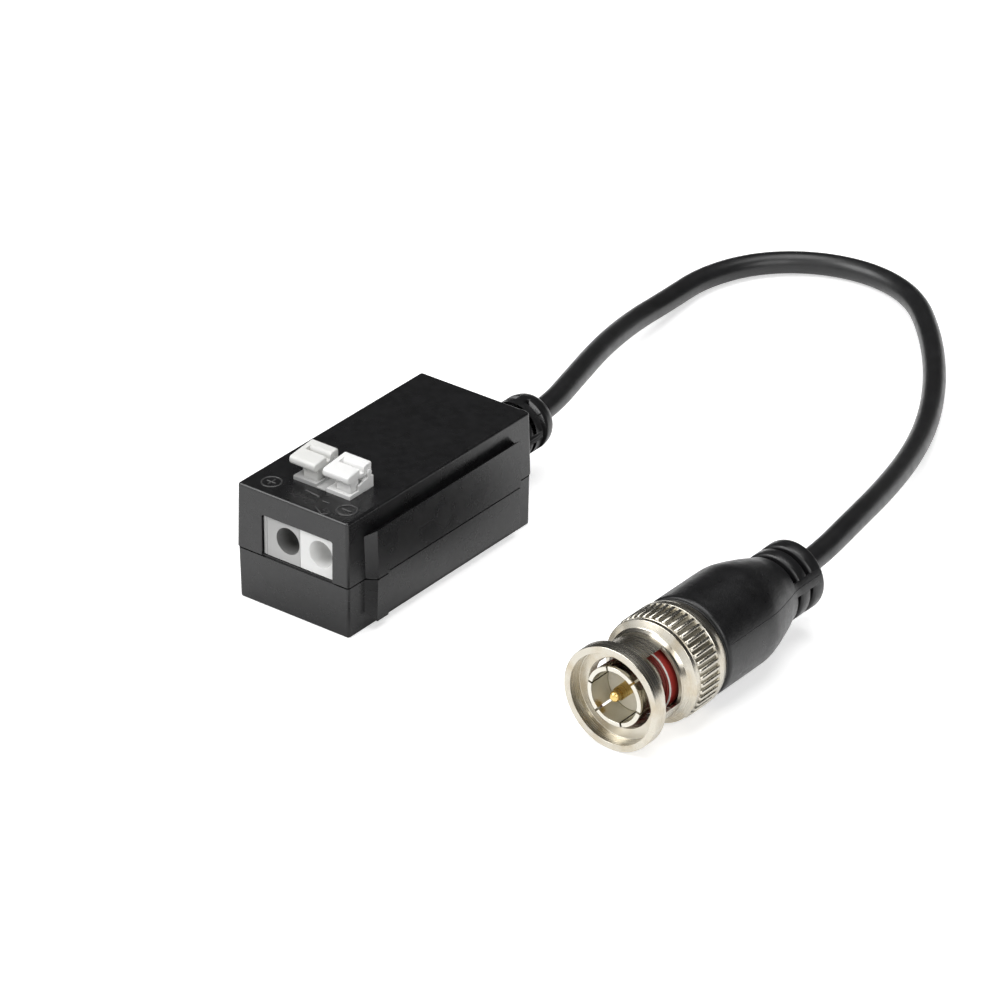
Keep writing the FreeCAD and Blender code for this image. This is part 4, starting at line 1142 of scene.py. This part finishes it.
class BalunLeadLooks(bpy.types.PropertyGroup):
    diameter: bpy.props.FloatProperty(
        name="Lead diameter", description="Outer diameter of the lead", unit="LENGTH",
        subtype="DISTANCE", default=0.0033, min=0.002, max=0.006)
    length: bpy.props.FloatProperty(
        name="Lead length", description="Length of the lead between its fittings' inner ends", unit="LENGTH",
        subtype="DISTANCE", default=0.1977, min=0.05, max=0.5)
    jacket_colour: bpy.props.FloatVectorProperty(
        name="Jacket colour", description="Colour of the lead's jacket", subtype="COLOR",
        default=(0.010, 0.010, 0.0105), min=0, max=1)
    boot_colour: bpy.props.FloatVectorProperty(
        name="Boot colour", description="Colour of the boot and the strain relief", subtype="COLOR",
        default=(0.008, 0.008, 0.0085), min=0, max=1)


class BalunPlugLooks(bpy.types.PropertyGroup):
    ridge_count: bpy.props.IntProperty(
        name="Ridges", description="Ridges round the nut's knurl", default=44, min=12, max=80)
    nickel_colour: bpy.props.FloatVectorProperty(
        name="Nickel colour", description="Colour of the plated metal", subtype="COLOR",
        default=(0.57, 0.54, 0.47), min=0, max=1)
    nickel_roughness: bpy.props.FloatProperty(
        name="Nickel roughness", description="How dull the plated metal is", subtype="FACTOR",
        default=0.26, min=0.05, max=1)


class BalunStudioLooks(bpy.types.PropertyGroup):
    azimuth: bpy.props.FloatProperty(
        name="Azimuth", description="Turn of the camera round the part", unit="ROTATION", subtype="ANGLE",
        default=math.radians(37.7425))
    elevation: bpy.props.FloatProperty(
        name="Elevation", description="Height angle of the camera", unit="ROTATION", subtype="ANGLE",
        default=math.radians(29.3991))
    distance: bpy.props.FloatProperty(
        name="Distance", description="Distance of the camera", unit="LENGTH", subtype="DISTANCE",
        default=0.785)
    aim_right: bpy.props.FloatProperty(
        name="Aim right", description="Shift of the camera to its right", unit="LENGTH", subtype="DISTANCE",
        default=0.0152653)
    aim_up: bpy.props.FloatProperty(
        name="Aim up", description="Shift of the camera upwards", unit="LENGTH", subtype="DISTANCE",
        default=0.0079021)
    lens: bpy.props.FloatProperty(
        name="Lens", description="Focal length of the camera in millimetres", default=210.222)
    floor_glow: bpy.props.FloatProperty(
        name="Floor glow", description="Light that the floor adds for the camera", default=0.55)
    mirrored_glow: bpy.props.FloatProperty(
        name="Mirrored glow", description="Light that the floor adds in reflections", default=0.40)
    shade_depth: bpy.props.FloatProperty(
        name="Shade depth", description="How dark the floor between the housing and the plug is in reflections",
        subtype="FACTOR", default=0.92, min=0, max=1)
    front_shade_depth: bpy.props.FloatProperty(
        name="Front shade depth", description="How dark the floor before the housing is in reflections",
        subtype="FACTOR", default=0.5, min=0, max=1)
    corner_shade_depth: bpy.props.FloatProperty(
        name="Corner shade depth", description="How dark the floor before the housing's corner is in reflections",
        subtype="FACTOR", default=0.75, min=0, max=1)
    key_power: bpy.props.FloatProperty(
        name="Key power", description="Power of the lamp at the front left", unit="POWER", default=6.0)
    fill_power: bpy.props.FloatProperty(
        name="Fill power", description="Power of the lamp at the front right", unit="POWER", default=3.0)
    top_power: bpy.props.FloatProperty(
        name="Top power", description="Power of the lamp above", unit="POWER", default=6.0)
    world_strength: bpy.props.FloatProperty(
        name="World strength", description="Strength of the plain surrounding light", default=0.05)
    front_glow: bpy.props.FloatProperty(
        name="Front glow", description="How bright reflections see the space before the object", default=1.1)


# Operators

class BalunStep:
    """What all the steps share"""

    bl_options = {"REGISTER", "UNDO"}


class BALUN_OT_camera(BalunStep, bpy.types.Operator):
    """Sets the camera"""

    bl_idname = "balun.camera"
    bl_label = "Camera"

    def execute(self, context):
        make_camera()
        return {"FINISHED"}


class BALUN_OT_cable(BalunStep, bpy.types.Operator):
    """Makes the lead"""

    bl_idname = "balun.cable"
    bl_label = "Lead"

    def execute(self, context):
        make_cable()
        return {"FINISHED"}


class BALUN_OT_housing(BalunStep, bpy.types.Operator):
    """Makes the housing's cover and base with their marks"""

    bl_idname = "balun.housing"
    bl_label = "Housing"

    def execute(self, context):
        make_housing()
        return {"FINISHED"}


class BALUN_OT_terminals(BalunStep, bpy.types.Operator):
    """Makes the two terminal modules and the end plate"""

    bl_idname = "balun.terminals"
    bl_label = "Terminals"

    def execute(self, context):
        make_terminals()
        return {"FINISHED"}


class BALUN_OT_levers(BalunStep, bpy.types.Operator):
    """Makes the two levers"""

    bl_idname = "balun.levers"
    bl_label = "Levers"

    def execute(self, context):
        make_levers()
        return {"FINISHED"}


class BALUN_OT_relief(BalunStep, bpy.types.Operator):
    """Makes the housing's strain relief"""

    bl_idname = "balun.relief"
    bl_label = "Strain relief"

    def execute(self, context):
        make_relief()
        return {"FINISHED"}


class BALUN_OT_boot(BalunStep, bpy.types.Operator):
    """Makes the plug's boot"""

    bl_idname = "balun.boot"
    bl_label = "Boot"

    def execute(self, context):
        make_boot()
        return {"FINISHED"}


class BALUN_OT_nut(BalunStep, bpy.types.Operator):
    """Makes the bayonet nut"""

    bl_idname = "balun.nut"
    bl_label = "Bayonet nut"

    def execute(self, context):
        make_nut()
        return {"FINISHED"}


class BALUN_OT_contacts(BalunStep, bpy.types.Operator):
    """Makes the plug's contacts, dielectric and seal"""

    bl_idname = "balun.contacts"
    bl_label = "Plug contacts"

    def execute(self, context):
        make_contacts()
        return {"FINISHED"}


class BALUN_OT_inside(BalunStep, bpy.types.Operator):
    bl_idname = "balun.inside"
    bl_label = "Inside"

    def execute(self, context):
        make_inside()
        declare_cord()
        return {"FINISHED"}


class BALUN_OT_stage(BalunStep, bpy.types.Operator):
    """Sets the floor, the lamps and the surroundings"""

    bl_idname = "balun.stage"
    bl_label = "Stage"

    def execute(self, context):
        make_stage()
        return {"FINISHED"}


OPERATORS = (
    BALUN_OT_camera,
    BALUN_OT_cable,
    BALUN_OT_housing,
    BALUN_OT_terminals,
    BALUN_OT_levers,
    BALUN_OT_relief,
    BALUN_OT_boot,
    BALUN_OT_nut,
    BALUN_OT_contacts,
    BALUN_OT_inside,
    BALUN_OT_stage,
)

LOOKS = (
    ("balun_housing", BalunHousingLooks),
    ("balun_lead", BalunLeadLooks),
    ("balun_plug", BalunPlugLooks),
    ("balun_studio", BalunStudioLooks),
)


class BALUN_PT_panel(bpy.types.Panel):
    """Lists the settings and the steps"""

    bl_idname = "BALUN_PT_panel"
    bl_label = "Video Balun"
    bl_space_type = "VIEW_3D"
    bl_region_type = "UI"
    bl_category = "Balun"

    def draw(self, context):
        for name, group in LOOKS:
            box = self.layout.box()
            for key in group.__annotations__:
                box.prop(getattr(context.scene, name), key)
        for operator in OPERATORS:
            self.layout.operator(operator.bl_idname)


def register():
    for name, group in LOOKS:
        bpy.utils.register_class(group)
        setattr(bpy.types.Scene, name, bpy.props.PointerProperty(type=group))
    for operator in OPERATORS:
        bpy.utils.register_class(operator)
    bpy.utils.register_class(BALUN_PT_panel)


def unregister():
    bpy.utils.unregister_class(BALUN_PT_panel)
    for operator in reversed(OPERATORS):
        bpy.utils.unregister_class(operator)
    for name, group in reversed(LOOKS):
        delattr(bpy.types.Scene, name)
        bpy.utils.unregister_class(group)


def main():
    register()
    for operator in OPERATORS:
        group, name = operator.bl_idname.split(".")
        getattr(getattr(bpy.ops, group), name)()


if __name__ == "__main__":
    main()
